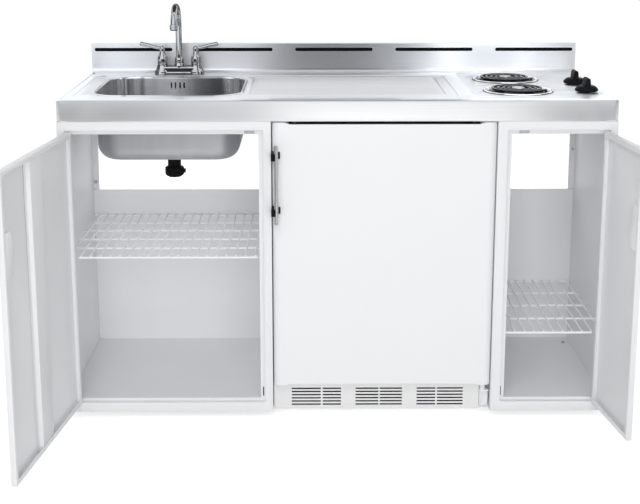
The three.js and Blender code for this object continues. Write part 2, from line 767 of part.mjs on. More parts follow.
function makeKnob() {
  const skirt = turned([
    [0, 0], [knobRadius - 3, 0], [knobRadius, 3], [knobRadius, 7], [knobRadius - 7, knobSkirt],
    [0, knobSkirt]], 24);
  const half = knobRadius - 3;
  const grip = loft([
    ring(0, 0, gripWidth / 2 + 1, half, gripWidth / 2, knobSkirt - 8, 3),
    ring(0, 0, gripWidth / 2, half - 1, gripWidth / 2 - 1, knobSkirt + gripHeight - 3, 3),
    ring(0, 0, gripWidth / 2 - 3, half - 4, gripWidth / 2 - 3, knobSkirt + gripHeight, 3),
  ]);
  const stem = rod(stemRadius, 0, 0, -knobLift - switchHeight + 4, 1, 10);
  return join(skirt, grip, stem);
}

function makeSwitch() {
  const half = switchSize / 2;
  const top = -steelSheet - seat;
  const body = risen(roundRect(-half, -half, half, half, 4), top - switchHeight, top, 2);
  const bore = rod(stemRadius + seat, 0, 0, top - switchHeight + 1.5, top + 1, 12);
  const tabs = [-12, -4, 4, 12].map((x) =>
    box(x - 0.5, x + 0.5, -half + 5, -half + 11, top - switchHeight - 8, top - switchHeight + 1));
  return cut(join(body, ...tabs), bore);
}

knobPlaces().forEach(([x, y], i) => {
  const where = ['front', 'rear'][i];
  addNode(`knob_${where}`, makeKnob(), blackPlastic()).position.set(x, y, trayFloor + knobLift);
  addNode(`burner_switch_${where}`, makeSwitch(), zincSteel()).position.set(x, y, trayFloor);
});

// A shallow sheet tray that closes the hob from below and carries the element sockets.
function makeUnderpan() {
  const [left, right] = [hobTrayLeft + 16, hobTrayRight - 6];
  const [front, back] = [apronReturn + 2, worktopDepth - underpanSetback];
  const [low, high] = [apronBottom, trayFloor - steelSheet - seat];
  const wall = 1;
  const tray = cut(box(left, right, front, back, low, high),
    box(left + wall, right - wall, front + wall, back - wall, low + wall, high + 1));
  const sockets = burnerPlaces().map(([x, y]) => {
    const start = x + leadEnd + seat;
    const height = trayFloor - leadDrop;
    return cut(box(start, start + 14, y - 17, y + 17, low, height + 8),
      box(start + 4, start + 15, y - 3, y + 3, height - 12, height + 9));
  });
  return join(tray, ...sockets);
}

addNode('hob_underpan', makeUnderpan(), zincSteel());

// ---------- Cupboards ----------

const cupboards = {
  left: {
    x0: unitLeft, x1: bayLeft, hingeLeft: true, latchStile: leftLatchStile,
    shelfHeight: leftShelfHeight, crossWires: leftCrossWires,
  },
  right: {
    x0: bayRight, x1: unitRight, hingeLeft: false, latchStile: rightLatchStile,
    shelfHeight: rightShelfHeight, crossWires: rightCrossWires,
  },
};

// The opening in the face frame that the door fills, and the smaller one inside its ledge.
function doorway({ x0, x1, hingeLeft, latchStile }) {
  const left = x0 + (hingeLeft ? hingeStile : latchStile);
  const right = x1 - (hingeLeft ? latchStile : hingeStile);
  return { left, right, low: plinthGap + bottomRail, high: cupboardTop - topRail };
}

function rectangle(left, right, low, high) {
  return outline([[left, low], [right, low], [right, high], [left, high]]);
}

// Face frame: an outer face, a return round the doorway and a set-back ledge as door stop.
function makeFaceFrame(cupboard) {
  const { left, right, low, high } = doorway(cupboard);
  const sheet = cupboardSheet;
  const doorHole = rectangle(left, right, low, high);
  const face = rectangle(cupboard.x0, cupboard.x1, plinthGap, cupboardTop);
  face.holes.push(doorHole);
  const returns = rectangle(left - sheet, right + sheet, low - sheet, high + sheet);
  returns.holes.push(doorHole);
  const ledge = rectangle(left - sheet, right + sheet, low - sheet, high + sheet);
  ledge.holes.push(rectangle(left + ledgeWidth, right - ledgeWidth, low + ledgeLip,
    high - ledgeWidth));
  return join(
    pushed(face, frameFront, frameFront + sheet),
    pushed(returns, frameFront, ledgeFront + sheet),
    pushed(ledge, ledgeFront, ledgeFront + sheet));
}

// Wire positions of a cupboard shelf, front to back.
function crossWirePlaces(count) {
  const back = backPanelFront - seat - thickWire;
  return Array.from({ length: count }, (_, i) => shelfFront + (back - shelfFront) * i / (count - 1));
}

// Side panel with a rear flange and the pins that carry the shelf; inward is 1 or -1.
function makeSidePanel(cupboard, wall, inward) {
  const sheet = cupboardSheet;
  const front = frameFront + sheet + seat;
  const panel = risen(outline([
    [0, front], [sheet, front], [sheet, cupboardBack - sheet], [backFlange, cupboardBack - sheet],
    [backFlange, cupboardBack], [0, cupboardBack],
  ].map(([x, y]) => [wall + inward * x, y])), plinthGap, cupboardTop);
  const places = crossWirePlaces(cupboard.crossWires);
  const pinHeight = cupboard.shelfHeight - thickWire - seat - shelfPin;
  const pins = [places[1], places[places.length - 2]].map((y) =>
    rodAlongX(shelfPin, wall + inward, wall + inward * (sheet + 9), y, pinHeight));
  return join(panel, ...pins);
}

// Floor panel with turned-down edges and four levelling feet.
function makeFloor({ x0, x1 }) {
  const sheet = cupboardSheet;
  const [left, right] = [x0 + sheet + seat, x1 - sheet - seat];
  const [front, back] = [ledgeFront + sheet + seat, cupboardBack - sheet - seat];
  const panel = cut(
    box(left, right, front, back, plinthGap, cupboardFloor),
    box(left + sheet, right - sheet, front + sheet, back - sheet, plinthGap - 1,
      cupboardFloor - sheet));
  const feet = [left + footInset, right - footInset].flatMap((x) =>
    [front + footInset, back - footInset].map((y) => join(
      rod(footRadius, x, y, 0, 9), rod(5, x, y, 8, cupboardFloor - 1, 6))));
  return join(panel, ...feet);
}

// Back panel: it stops short, and leaves the pipe and socket space open above.
function makeBack({ x0, x1 }) {
  const sheet = cupboardSheet;
  const [left, right] = [x0 + sheet + seat, x1 - sheet - seat];
  const low = cupboardFloor + seat;
  return join(
    box(left, right, backPanelFront, backPanelFront + sheet, low, backPanelTop),
    box(left, right, backPanelFront - 8, backPanelFront + sheet, backPanelTop - sheet, backPanelTop));
}

// A wire shelf: thick cross wires under a row of thin wires that run front to back.
function makeWireShelf({ left, right, crossPlaces, height, inset }) {
  const overlap = 0.4;
  const crossTop = height + thickWire;
  const crossWires = crossPlaces.map((y, i) => {
    const trim = i === 0 ? inset : 0;
    return box(left + trim, right - trim, y - thickWire, y + thickWire, height - thickWire, crossTop);
  });
  const count = Math.floor((right - left - 4 * thinWire) / shelfWirePitch);
  const start = (left + right - count * shelfWirePitch) / 2;
  const thinWires = Array.from({ length: count + 1 }, (_, i) => {
    const x = start + i * shelfWirePitch;
    const short = x < left + inset || x > right - inset;
    return box(x - thinWire, x + thinWire, crossPlaces[short ? 1 : 0] - thickWire,
      crossPlaces.at(-1) + thickWire - 0.5, crossTop - overlap, crossTop + 2 * thinWire - overlap);
  });
  return join(...crossWires, ...thinWires);
}

function makeCupboardShelf({ x0, x1, crossWires, shelfHeight }) {
  const gap = cupboardSheet + seat + 0.5;
  return makeWireShelf({
    left: x0 + gap, right: x1 - gap, crossPlaces: crossWirePlaces(crossWires),
    height: shelfHeight, inset: frontWireInset,
  });
}

// A magnetic strip on the top ledge, near the latch side.
function makeCatch(cupboard) {
  const { left, right, high } = doorway(cupboard);
  const middle = cupboard.hingeLeft ? right - 37 : left + 46;
  const back = ledgeFront - seat;
  return box(middle - catchLength / 2, middle + catchLength / 2, back - 1.3, back,
    high - ledgeWidth + 2, high - 2);
}

// A butt hinge: knuckles of one leaf stand above and below the knuckle of the other.
function hingeHeights() {
  const low = doorBottom + hingeInset;
  const high = doorTop - hingeInset - hingeHeight;
  return { lower: low, upper: high };
}

// Leaf faces lie beside the pin, on the side that `away` points to.
function makeHingeLeaf(base, away, onFrame) {
  const third = hingeHeight / 3;
  const reach = doorThickness + knuckleRadius;
  const [near, far] = [seat / 2, seat / 2 + hingeLeaf];
  const leaf = box(away * near, away * far, 0, reach, base, base + hingeHeight);
  const barrel = (low, high) => rod(knuckleRadius, 0, 0, base + low, base + high, 8);
  const clear = (low, high) => rod(knuckleRadius + seat, 0, 0, base + low, base + high, 8);
  if (onFrame) {
    return join(
      cut(leaf, clear(third - seat, 2 * third + seat)),
      barrel(0, third - seat),
      barrel(2 * third + seat, hingeHeight),
      rod(knuckleRadius / 2, 0, 0, base, base + hingeHeight, 8));
  }
  return cut(
    join(cut(leaf, clear(-1, third), clear(2 * third, hingeHeight + 1)), barrel(third, 2 * third)),
    rod(knuckleRadius / 2 + seat, 0, 0, base - 1, base + hingeHeight + 1, 8));
}

// The door as it hangs shut, drawn from its hinge pin; hand is 1 when it extends to +X.
function makeDoorPan(hand, width) {
  const edge = hingeGap / 2;
  const [front, back] = [frameFront - pinY, frameFront - pinY + doorThickness];
  const layer = (inset, y0, y1) => box(hand * (edge + inset), hand * (width - inset), y0, y1,
    doorBottom + inset, doorTop - inset);
  const pull = pullHole(hand, width, 0);
  return cut(
    layer(0, front, back),
    layer(doorSheet, front + doorSheet, back - doorSheet),
    layer(doorFlange, front + doorSheet, back + 1),
    pull);
}

// Outline of the cup pull, drawn as seen from the front, with cut corners.
function pullOutline(hand, width, shrink) {
  const far = hand * (width - pullEdge - shrink);
  const near = hand * (width - pullEdge - pullWidth + shrink);
  const [low, high] = [pullCentre - pullLength / 2 + shrink, pullCentre + pullLength / 2 - shrink];
  const chamfer = 14;
  return outline([
    [near, low + chamfer], [near + hand * chamfer, low], [far, low], [far, high],
    [near + hand * chamfer, high], [near, high - chamfer]]);
}

const cupRim = 5;

function pullHole(hand, width, grow) {
  const front = frameFront - pinY;
  return pushed(pullOutline(hand, width, cupRim - seat - grow), front - 1, front + doorSheet + 1);
}

// A moulded cup let into the door: a thin rim outside, and a hollow for the fingers.
function makePull(hand, width) {
  const front = frameFront - pinY;
  const depth = doorThickness - doorSheet;
  const wall = 2;
  return cut(
    join(
      pushed(pullOutline(hand, width, 0), front - seat - 1.2, front - seat),
      pushed(pullOutline(hand, width, cupRim), front - 1, front + depth)),
    pushed(pullOutline(hand, width, cupRim + wall), front - 2, front + depth - wall));
}

// A folded hat section spot-welded up the middle of the wide door.
function makeStiffener() {
  const front = frameFront - pinY + doorSheet + seat;
  const back = frameFront - pinY + doorThickness - doorSheet - seat;
  const [sheet, foot] = [1.2, 16];
  const half = stiffenerWidth / 2;
  const hat = outline([
    [-half, front], [-half + foot, front], [-half + foot + 4, back - sheet],
    [half - foot - 4, back - sheet], [half - foot, front], [half, front], [half, front + sheet],
    [half - foot + 1, front + sheet], [half - foot - 3, back], [-half + foot + 3, back],
    [-half + foot - 1, front + sheet], [-half, front + sheet]]
    .map(([x, y]) => [x + stiffenerAt, y]));
  return risen(hat, doorBottom + doorSheet + seat, doorTop - doorSheet - seat);
}

for (const [side, cupboard] of Object.entries(cupboards)) {
  const { left, right } = doorway(cupboard);
  const hand = cupboard.hingeLeft ? 1 : -1;
  const pinX = (cupboard.hingeLeft ? left : right) + hand * hingeGap / 2;
  const doorWidth = right - left - hingeGap / 2 - doorGap;
  addNode(`${side}_face_frame`, makeFaceFrame(cupboard), whiteEnamel());
  addNode(`${side}_cupboard_side_a`, makeSidePanel(cupboard, cupboard.x0, 1), whiteEnamel());
  addNode(`${side}_cupboard_side_b`, makeSidePanel(cupboard, cupboard.x1, -1), whiteEnamel());
  addNode(`${side}_cupboard_floor`, makeFloor(cupboard), whiteEnamel());
  addNode(`${side}_cupboard_back`, makeBack(cupboard), whiteEnamel());
  addNode(`${side}_shelf`, makeCupboardShelf(cupboard), whiteWire());
  addNode(`${side}_catch`, makeCatch(cupboard), zincSteel());

  const door = new THREE.Group();
  door.position.set(pinX, pinY, 0);
  door.rotation.z = -hand * THREE.MathUtils.degToRad(doorOpen);
  unit.add(door);
  addNode(`${side}_door`, makeDoorPan(hand, doorWidth), whiteEnamel(), door);
  addNode(`${side}_door_pull`, makePull(hand, doorWidth), linerPlastic(), door);
  if (side === 'left') addNode('left_door_stiffener', makeStiffener(), whiteEnamel(), door);
  for (const [level, base] of Object.entries(hingeHeights())) {
    const leaf = addNode(`${side}_hinge_${level}_frame`, makeHingeLeaf(base, -hand, true), zincSteel());
    leaf.position.set(pinX, pinY, 0);
    addNode(`${side}_hinge_${level}_door`, makeHingeLeaf(base, hand, false), zincSteel(), door);
  }
}

// ---------- Refrigerator cabinet ----------

// The storage space, stepped at the rear over the compressor; grown or shrunk by `inset`.
function fridgeSpace(inset, front) {
  const [left, right] = [fridgeLeft + fridgeWall + inset, fridgeRight - fridgeWall - inset];
  const [low, high] = [fridgeBottom + fridgeWall + inset, fridgeTop - fridgeWall - inset];
  const back = fridgeBack - fridgeWall - inset;
  return join(
    box(left, right, front, back - humpDepth, low, high),
    box(left, right, front, back, low + humpHeight, high));
}

function makeFridgeBody() {
  const skin = 2;
  const foam = box(fridgeLeft, fridgeRight, fridgeFront, fridgeBack, fridgeBottom, fridgeTop);
  const sides = [fridgeLeft, fridgeRight - skin].map((x) =>
    box(x, x + skin, fridgeFront, fridgeBack, fridgeFoot, fridgeBottom + 1));
  const rail = box(fridgeLeft, fridgeRight, fridgeFront, fridgeFront + skin, fridgeFoot,
    fridgeBottom + 1);
  const base = box(fridgeLeft, fridgeRight, fridgeFront, fridgeBack, fridgeFoot, fridgeFoot + 3);
  const feet = [fridgeLeft + 50, fridgeRight - 50].flatMap((x) =>
    [fridgeFront + 40, fridgeBack - 40].map((y) => rod(footRadius, x, y, 0, fridgeFoot + 1)));
  const machineRoom = box(fridgeLeft + 2, fridgeRight - 2, fridgeBack - humpDepth, fridgeBack + 1,
    fridgeFoot + 3, fridgeBottom + humpHeight);
  return join(cut(foam, fridgeSpace(0, fridgeFront - 1), machineRoom), ...sides, rail, base, ...feet);
}

addNode('fridge_body', makeFridgeBody(), fridgeWhite());

// The liner seats in that space and has ribs for the shelf.
function makeFridgeLiner() {
  const shell = cut(fridgeSpace(seat, fridgeFront), fridgeSpace(seat + linerSheet, fridgeFront - 1));
  const wall = fridgeWall + seat + linerSheet;
  const ribs = [fridgeShelfHeight, fridgeShelfHeight + 110].flatMap((z) => [1, -1].map((inward) => {
    const x = inward > 0 ? fridgeLeft + wall : fridgeRight - wall;
    return box(x - inward, x + inward * 6, fridgeFront + 70, fridgeBack - wall - 10, z - 6, z);
  }));
  return join(shell, ...ribs);
}

addNode('fridge_liner', makeFridgeLiner(), linerPlastic());

const fridgeInnerWall = fridgeWall + 2 * seat + linerSheet;

// A glass shelf with a moulded strip along its front and rear edges.
function makeFridgeShelf() {
  const [left, right] = [fridgeLeft + fridgeInnerWall + 1, fridgeRight - fridgeInnerWall - 1];
  const [front, back] = [fridgeFront + 90, fridgeBack - fridgeInnerWall - 12];
  const low = fridgeShelfHeight + seat;
  const strip = (y) => carried(outline([
    [y, low], [y + 12, low], [y + 12, low + 9], [y + 9, low + 12], [y, low + 12]]), left, right);
  return join(box(left, right, front + 6, back - 6, low, low + 4), strip(front), strip(back - 12));
}

addNode('fridge_shelf', makeFridgeShelf(), linerPlastic());

// The freezer compartment: a thin box, open in front, hung from the liner's ceiling.
function makeFreezer() {
  const [left, right] = [fridgeLeft + fridgeInnerWall + 26, fridgeRight - fridgeInnerWall - 26];
  const [front, back] = [fridgeFront + 92, fridgeBack - fridgeInnerWall - 30];
  const high = fridgeTop - fridgeInnerWall;
  const low = high - freezerHeight;
  const sheet = 2;
  return cut(box(left, right, front, back, low, high),
    box(left + sheet, right - sheet, front - 1, back - sheet, low + sheet, high - sheet));
}

addNode('fridge_freezer_box', makeFreezer(), zincSteel());

// The hermetic compressor: a domed can on a foot plate.
function makeCompressor() {
  const r = compressorRadius;
  const can = turned([
    [0, r * 0.2], [r * 0.7, r * 0.23], [r * 0.95, r * 0.45], [r, r * 0.8], [r, r * 1.5],
    [r * 0.93, r * 1.94], [r * 0.7, r * 2.26], [r * 0.3, r * 2.42], [0, r * 2.44]], 14);
  const plate = risen(roundRect(-r, -r * 0.8, r, r * 0.8, 12), 4, 8, 2);
  const grommets = [-1, 1].flatMap((sx) => [-1, 1].map((sy) =>
    rod(8, sx * (r - 12), sy * (r * 0.8 - 12), 0, 12, 6)));
  return join(can, plate, ...grommets, rod(r * 0.5, 0, 0, 6, 20, 12));
}

addNode('fridge_compressor', makeCompressor(), blackPlastic()).position.set(
  fridgeRight - 150, fridgeBack - humpDepth / 2, fridgeFoot + 3 + seat);

// ---------- Refrigerator door ----------

// Outer form: round upright edges in plan, and a small boss at each corner seen from the front.
function fridgeDoorForm(grow) {
  const plan = new THREE.Shape();
  const r = fridgeDoorCorner;
  const [left, right] = [fridgeDoorLeft - grow, fridgeDoorRight + grow];
  plan.moveTo(left, fridgeDoorThickness + grow);
  plan.lineTo(left, r - grow);
  plan.absarc(left + r, r - grow, r, Math.PI, 1.5 * Math.PI, false);
  plan.absarc(right - r, r - grow, r, 1.5 * Math.PI, 2 * Math.PI, false);
  plan.lineTo(right, fridgeDoorThickness + grow);
  const [low, high] = [fridgeDoorBottom, fridgeDoorTop];
  const [lowest, highest] = [low - cornerBoss, high + cornerBoss];
  const near = cornerBossLength;
  const far = cornerBossLength + 12;
  const face = outline([
    [left, lowest], [left + near, lowest], [left + far, low], [right - far, low],
    [right - near, lowest], [right, lowest], [right, highest], [right - near, highest],
    [right - far, high], [left + far, high], [left + near, highest], [left, highest]]);
  return risen(plan, lowest - 1, highest + 1, 6)
    .intersect(pushed(face, -grow - 1, fridgeDoorThickness + grow + 1));
}

function makeFridgeDoor() {
  const bores = [
    [fridgeDoorBottom - cornerBoss - 1, fridgeDoorBottom + 24],
    [fridgeDoorTop - 24, fridgeDoorTop + cornerBoss + 1],
  ].map(([low, high]) => rod(fridgePinRadius + seat, fridgePinX, fridgePinY, low, high, 16));
  return cut(fridgeDoorForm(0), ...bores);
}

addNode('fridge_door', makeFridgeDoor(), fridgeWhite());

// Inner door panel: a flat flange, a raised dyke and two bottle racks between its sides.
function makeFridgeDoorLiner() {
  const y0 = fridgeDoorThickness + seat;
  const sheet = 2;
  const [left, right] = [fridgeDoorLeft + 8, fridgePinX + 8];
  const [low, high] = [fridgeDoorBottom + 8, fridgeDoorTop - 8];
  const panel = pushed(roundRect(left, low, right, high, 10), y0, y0 + sheet, 3);
  const dyke = [fridgeDoorLeft + dykeInset, fridgeDoorRight - dykeInset,
    fridgeDoorBottom + dykeInset - 5, fridgeDoorTop - dykeInset + 5];
  const dykeRing = roundRect(dyke[0], dyke[2], dyke[1], dyke[3], 24);
  const thick = 10;
  dykeRing.holes.push(roundRect(dyke[0] + thick, dyke[2] + thick, dyke[1] - thick, dyke[3] - thick, 14));
  const racks = [0, 0.42].map((share) => {
    const z = dyke[2] + share * (dyke[3] - dyke[2]);
    return join(
      box(dyke[0] + 2, dyke[1] - 2, y0, y0 + rackDepth, z + 3, z + 6),
      box(dyke[0] + 2, dyke[1] - 2, y0 + rackDepth - 3, y0 + rackDepth, z + 3, z + 68),
      box(dyke[0] + 2, dyke[0] + 5, y0, y0 + rackDepth, z + 3, z + 68),
      box(dyke[1] - 5, dyke[1] - 2, y0, y0 + rackDepth, z + 3, z + 68));
  });
  return join(panel, pushed(dykeRing, y0, y0 + dykeDepth, 3), ...racks);
}

addNode('fridge_door_liner', makeFridgeDoorLiner(), linerPlastic());

// The magnetic gasket closes the gap between the door panel and the cabinet's front.
function makeGasket() {
  const [left, right] = [fridgeDoorLeft + 12, fridgePinX - 1];
  const [low, high] = [fridgeDoorBottom + 12, fridgeDoorTop - 12];
  const width = 14;
  const face = roundRect(left, low, right, high, 12);
  face.holes.push(roundRect(left + width, low + width, right - width, high - width, 6));
  return pushed(face, fridgeDoorThickness + 2 + 2 * seat, fridgeFront - seat, 3);
}

addNode('fridge_gasket', makeGasket(), gasketRubber());

// Bar handle on two short posts near the door's free edge.
function makeFridgeHandle() {
  const barX = fridgeDoorLeft + 11.5;
  const bar = rod(handleRadius, barX, -handleReach, handleCentre - handleLength / 2,
    handleCentre + handleLength / 2, 14);
  const posts = [-1, 1].map((side) => {
    const z = handleCentre + side * handlePostPitch / 2;
    const left = fridgeDoorLeft - fridgeDoorGap;
    return risen(outline([
      [left, -handleReach - 6], [left + 11, -handleReach - 6], [left + 11, -handleReach + 8],
      [left + 26, 2], [left + 8, 14], [left + 5, 14], [left, -6]]), z - 9.5, z + 9.5);
  });
  return cut(join(bar, ...posts), fridgeDoorForm(seat));
}

addNode('fridge_handle', makeFridgeHandle(), zincSteel());

// ---------- Refrigerator hinges and kick grille ----------

const bracketRight = fridgeDoorRight - 3;
const bracketLeft = bracketRight - hingeBracketWidth;

function makeLowerHinge() {
  const [left, right] = [bracketLeft, bracketRight];
  const [low, high] = [25, fridgeDoorBottom - 22];
  const front = grilleRecess - 4;
  const back = fridgeFront - seat;
  const sheet = 3;
  const channel = cut(box(left, right, front, back, low, high),
    box(left + sheet, right - sheet, front + sheet, back + 1, low - 1, high - sheet));
  const arm = box(left, right, fridgePinY - 10, front + 1, high - sheet, high);
  const screw = new THREE.CylinderGeometry(5, 5, 3, 10)
    .translate((left + right) / 2, front - 0.5, low + 10);
  const pin = rod(fridgePinRadius, fridgePinX, fridgePinY, high - 1, fridgeDoorBottom + 20, 12);
  const cap = rod(7.5, fridgePinX, fridgePinY, high - 1, fridgeDoorBottom - cornerBoss - seat, 14);
  return join(channel, arm, solid(screw), pin, cap);
}

addNode('fridge_hinge_lower', makeLowerHinge(), whiteEnamel());

function makeUpperHinge() {
  const low = fridgeDoorTop + cornerBoss + seat;
  const high = low + 1.6;
  const [left, right] = [fridgePinX - 30, fridgeDoorRight];
  return join(
    box(left, right, fridgePinY - 10, fridgeFront + 60, low, high),
    box(left, right, fridgeFront + 3, fridgeFront + 60, fridgeTop + seat, high),
    rod(fridgePinRadius, fridgePinX, fridgePinY, fridgeDoorTop - 20, high - 0.5, 12));
}

addNode('fridge_hinge_upper', makeUpperHinge(), zincSteel());

// Kick grille: a shallow cover with three groups of slots, each group split by a bar.
function makeKickGrille() {
  const [left, right] = [fridgeDoorLeft, bracketLeft - 1];
  const back = fridgeFront - seat;
  const wall = 2;
  const cover = cut(
    box(left, right, grilleRecess, back, grilleBottom, grilleTop),
    box(left + wall, right - wall, grilleRecess + wall, back + 1, grilleBottom + wall,
      grilleTop - wall));
  const halfway = (grilleBottom + grilleTop) / 2 - 1;
  const slots = grilleSlots.flatMap(([from, to]) =>
    Array.from({ length: grilleRows }, (_, i) => {
      const z = halfway + (i - (grilleRows - 1) / 2) * grillePitch;
      return box(left + from, left + to, grilleRecess - 1, grilleRecess + wall + 1,
        z - grilleSlot / 2, z + grilleSlot / 2);
    }));
  return cut(cover, ...slots);
}

addNode('fridge_kick_grille', makeKickGrille(), linerPlastic());

// ---------- Place the origin under the middle of the overall box ----------

unit.updateMatrixWorld(true);
const extent = new THREE.Box3().setFromObject(unit, true);
const middle = extent.getCenter(new THREE.Vector3());
unit.position.set(-middle.x, -middle.y, 0);

export default unit;
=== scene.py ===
"""Looks of a compact fitted kitchen unit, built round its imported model.

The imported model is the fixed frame: every piece below takes its place from it, in metres, with
+X to the right, +Y to the wall and +Z up. Sections follow the unit as it is put together.
"""

import math

import bmesh
import bpy
import numpy as np
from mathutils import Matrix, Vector
from mathutils.geometry import tessellate_polygon


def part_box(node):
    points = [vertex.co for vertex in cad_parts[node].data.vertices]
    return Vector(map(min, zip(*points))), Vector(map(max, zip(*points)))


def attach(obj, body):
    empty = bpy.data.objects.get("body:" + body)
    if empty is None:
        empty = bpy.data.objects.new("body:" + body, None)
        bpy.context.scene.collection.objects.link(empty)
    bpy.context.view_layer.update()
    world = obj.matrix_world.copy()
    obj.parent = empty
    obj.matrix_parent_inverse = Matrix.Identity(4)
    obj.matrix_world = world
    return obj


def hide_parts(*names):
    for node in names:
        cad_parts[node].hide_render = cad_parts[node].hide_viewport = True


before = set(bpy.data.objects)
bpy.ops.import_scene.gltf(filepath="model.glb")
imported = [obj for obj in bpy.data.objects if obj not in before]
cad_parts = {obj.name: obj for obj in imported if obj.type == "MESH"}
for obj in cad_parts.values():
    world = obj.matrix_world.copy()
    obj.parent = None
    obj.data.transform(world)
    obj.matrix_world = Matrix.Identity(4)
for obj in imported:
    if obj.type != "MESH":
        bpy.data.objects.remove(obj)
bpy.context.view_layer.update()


# ---------- Cupboards ----------
# Two open-fronted boxes of folded steel sheet, welded together and sprayed with white powder
# coat: a face frame with a set-back ledge, two sides, a floor on levelling feet and a low back.

def node(tree, kind, inputs=(), output=0, **settings):
    """A shader node's output. Each of its inputs is linked where a socket is given, else set."""
    new_node = tree.nodes.new("ShaderNode" + kind)
    for setting, value in settings.items():
        setattr(new_node, setting, value)
    for socket, value in dict(inputs).items():
        if isinstance(value, bpy.types.NodeSocket):
            tree.links.new(value, new_node.inputs[socket])
        else:
            new_node.inputs[socket].default_value = value
    return new_node.outputs[output]


def group_tree(name, inputs):
    """A shader group and its input sockets. A default of four numbers makes a colour, of three a
    vector, and of one a plain value."""
    tree = bpy.data.node_groups.new(name, "ShaderNodeTree")
    for socket, value in inputs.items():
        kind = "NodeSocket" + {1: "Float", 3: "Vector", 4: "Color"}[np.size(value)]
        tree.interface.new_socket(socket, in_out="INPUT", socket_type=kind).default_value = value
    return tree, tree.nodes.new("NodeGroupInput").outputs


def put_out(tree, **outputs):
    """End a group with its outputs, which are Colour, Roughness and Normal or some of them."""
    kinds = {"Colour": "Color", "Roughness": "Float", "Normal": "Vector"}
    for socket in outputs:
        tree.interface.new_socket(socket, in_out="OUTPUT", socket_type="NodeSocket" + kinds[socket])
    end = tree.nodes.new("NodeGroupOutput")
    for socket, value in outputs.items():
        tree.links.new(value, end.inputs[socket])
    return tree


def object_noise(tree, scale, detail, stretch=(1, 1, 1)):
    """Noise over the piece's own coordinates, whose three axes are stretched first."""
    place = node(tree, "TexCoord", output="Object")
    mapping = node(tree, "Mapping", {"Vector": place, "Scale": stretch})
    return node(tree, "TexNoise", {"Vector": mapping, "Scale": scale, "Detail": detail}, "Fac")


def tone_between(tree, share, first, second, low, high):
    """The first colour where the noise is below `low`, the second where it is above `high`."""
    spread = node(tree, "MapRange", {"Value": share, "From Min": low, "From Max": high})
    return node(tree, "Mix", {0: spread, 6: first, 7: second}, 2, data_type="RGBA")


def drifting_roughness(tree, share, middle, amount):
    """The middle roughness, more or less by `amount` as the noise swings from 0 to 1."""
    least = node(tree, "Math", {0: middle, 1: amount}, operation="SUBTRACT")
    return node(tree, "Math", {0: share, 1: 2 * amount, 2: least}, operation="MULTIPLY_ADD")


def bumped(tree, height, depth, strength=0.4):
    """Normals tilted by a height pattern whose full swing is `depth` metres."""
    return node(tree, "Bump", {"Height": height, "Distance": depth, "Strength": strength})


def make_coat_group():
    """Powder coat, enamel or moulded plastic: an even fine grain, and a tone that drifts slowly."""
    tree, given = group_tree("sprayed_or_moulded_coat", {
        "Colour": (0.8, 0.8, 0.8, 1), "Drift": (0.7, 0.7, 0.7, 1), "Roughness": 0.4,
        "Grain": 700.0, "Depth": 0.00003})
    slow = object_noise(tree, 5.0, 3.0)
    grain = object_noise(tree, given["Grain"], 2.0)
    return put_out(tree, Colour=tone_between(tree, slow, given["Colour"], given["Drift"], 0.1, 0.9),
                   Roughness=drifting_roughness(tree, slow, given["Roughness"], 0.08),
                   Normal=bumped(tree, grain, given["Depth"]))


coat_group = make_coat_group()


def principled(name, **plain):
    """A material of one shader whose plain inputs are set, and that shader."""
    material = bpy.data.materials.new(name)
    material.use_nodes = True
    shader = material.node_tree.nodes["Principled BSDF"]
    for socket, value in plain.items():
        shader.inputs[socket.replace("_", " ")].default_value = value
    return material, shader


def finished(name, tree, values, **plain):
    """A material whose varying inputs come from a group; the plain ones are set on the shader."""
    material, shader = principled(name, **plain)
    group = material.node_tree.nodes.new("ShaderNodeGroup")
    group.node_tree = tree
    for socket, value in values.items():
        group.inputs[socket].default_value = value
    for socket, value in group.outputs.items():
        material.node_tree.links.new(value, shader.inputs[socket.replace("Colour", "Base Color")])
    return material


def coated(name, colour, drift, roughness, grain=700.0, depth=0.00003, **plain):
    """A coat from two near colours and its shine, with a grain so fine and so deep."""
    values = {"Colour": (*colour, 1), "Drift": (*drift, 1), "Roughness": roughness,
              "Grain": grain, "Depth": depth}
    return finished(name, coat_group, values, **plain)


white_enamel = coated("white_powder_coat", (0.86, 0.865, 0.875), (0.84, 0.845, 0.86), 0.42,
                      650.0, 0.00004, Specular_IOR_Level=0.45)


def dress(material, *nodes):
    """Give CAD nodes a material in place of their plain one."""
    for name in nodes:
        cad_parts[name].material_slots[0].material = material


def mounted(name, mesh, material, body, stands_for):
    """A smooth-shaded piece of one material, riding on its body in place of some CAD nodes."""
    mesh.shade_smooth()
    mesh.materials.clear()
    mesh.materials.append(material)
    piece = bpy.data.objects.new(name, mesh)
    bpy.context.collection.objects.link(piece)
    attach(piece, body)
    if stands_for:
        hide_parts(*stands_for)
    return piece


def softened(name, width, material, body="root", turn=35):
    """A copy of a folded or moulded CAD node with its edges rounded to `width` metres."""
    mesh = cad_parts[name].data.copy()
    merged = bmesh.new()
    merged.from_mesh(mesh)
    bmesh.ops.remove_doubles(merged, verts=merged.verts, dist=2e-6)
    bmesh.ops.dissolve_limit(merged, angle_limit=math.radians(0.4), verts=merged.verts,
                             edges=merged.edges)
    merged.to_mesh(mesh)
    merged.free()
    piece = mounted(name + "_finished", mesh, material, body, [name])
    if width:
        rounding = piece.modifiers.new("edges", "BEVEL")
        rounding.width, rounding.segments = width, 2
        rounding.limit_method, rounding.angle_limit = "ANGLE", math.radians(turn)
        rounding.harden_normals = True
    else:
        mesh.set_sharp_from_angle(angle=math.radians(turn))
    return piece


for side in ("left", "right"):
    dress(white_enamel, f"{side}_cupboard_side_a", f"{side}_cupboard_side_b",
          f"{side}_cupboard_floor", f"{side}_cupboard_back")
    softened(f"{side}_face_frame", 0.0007, white_enamel)


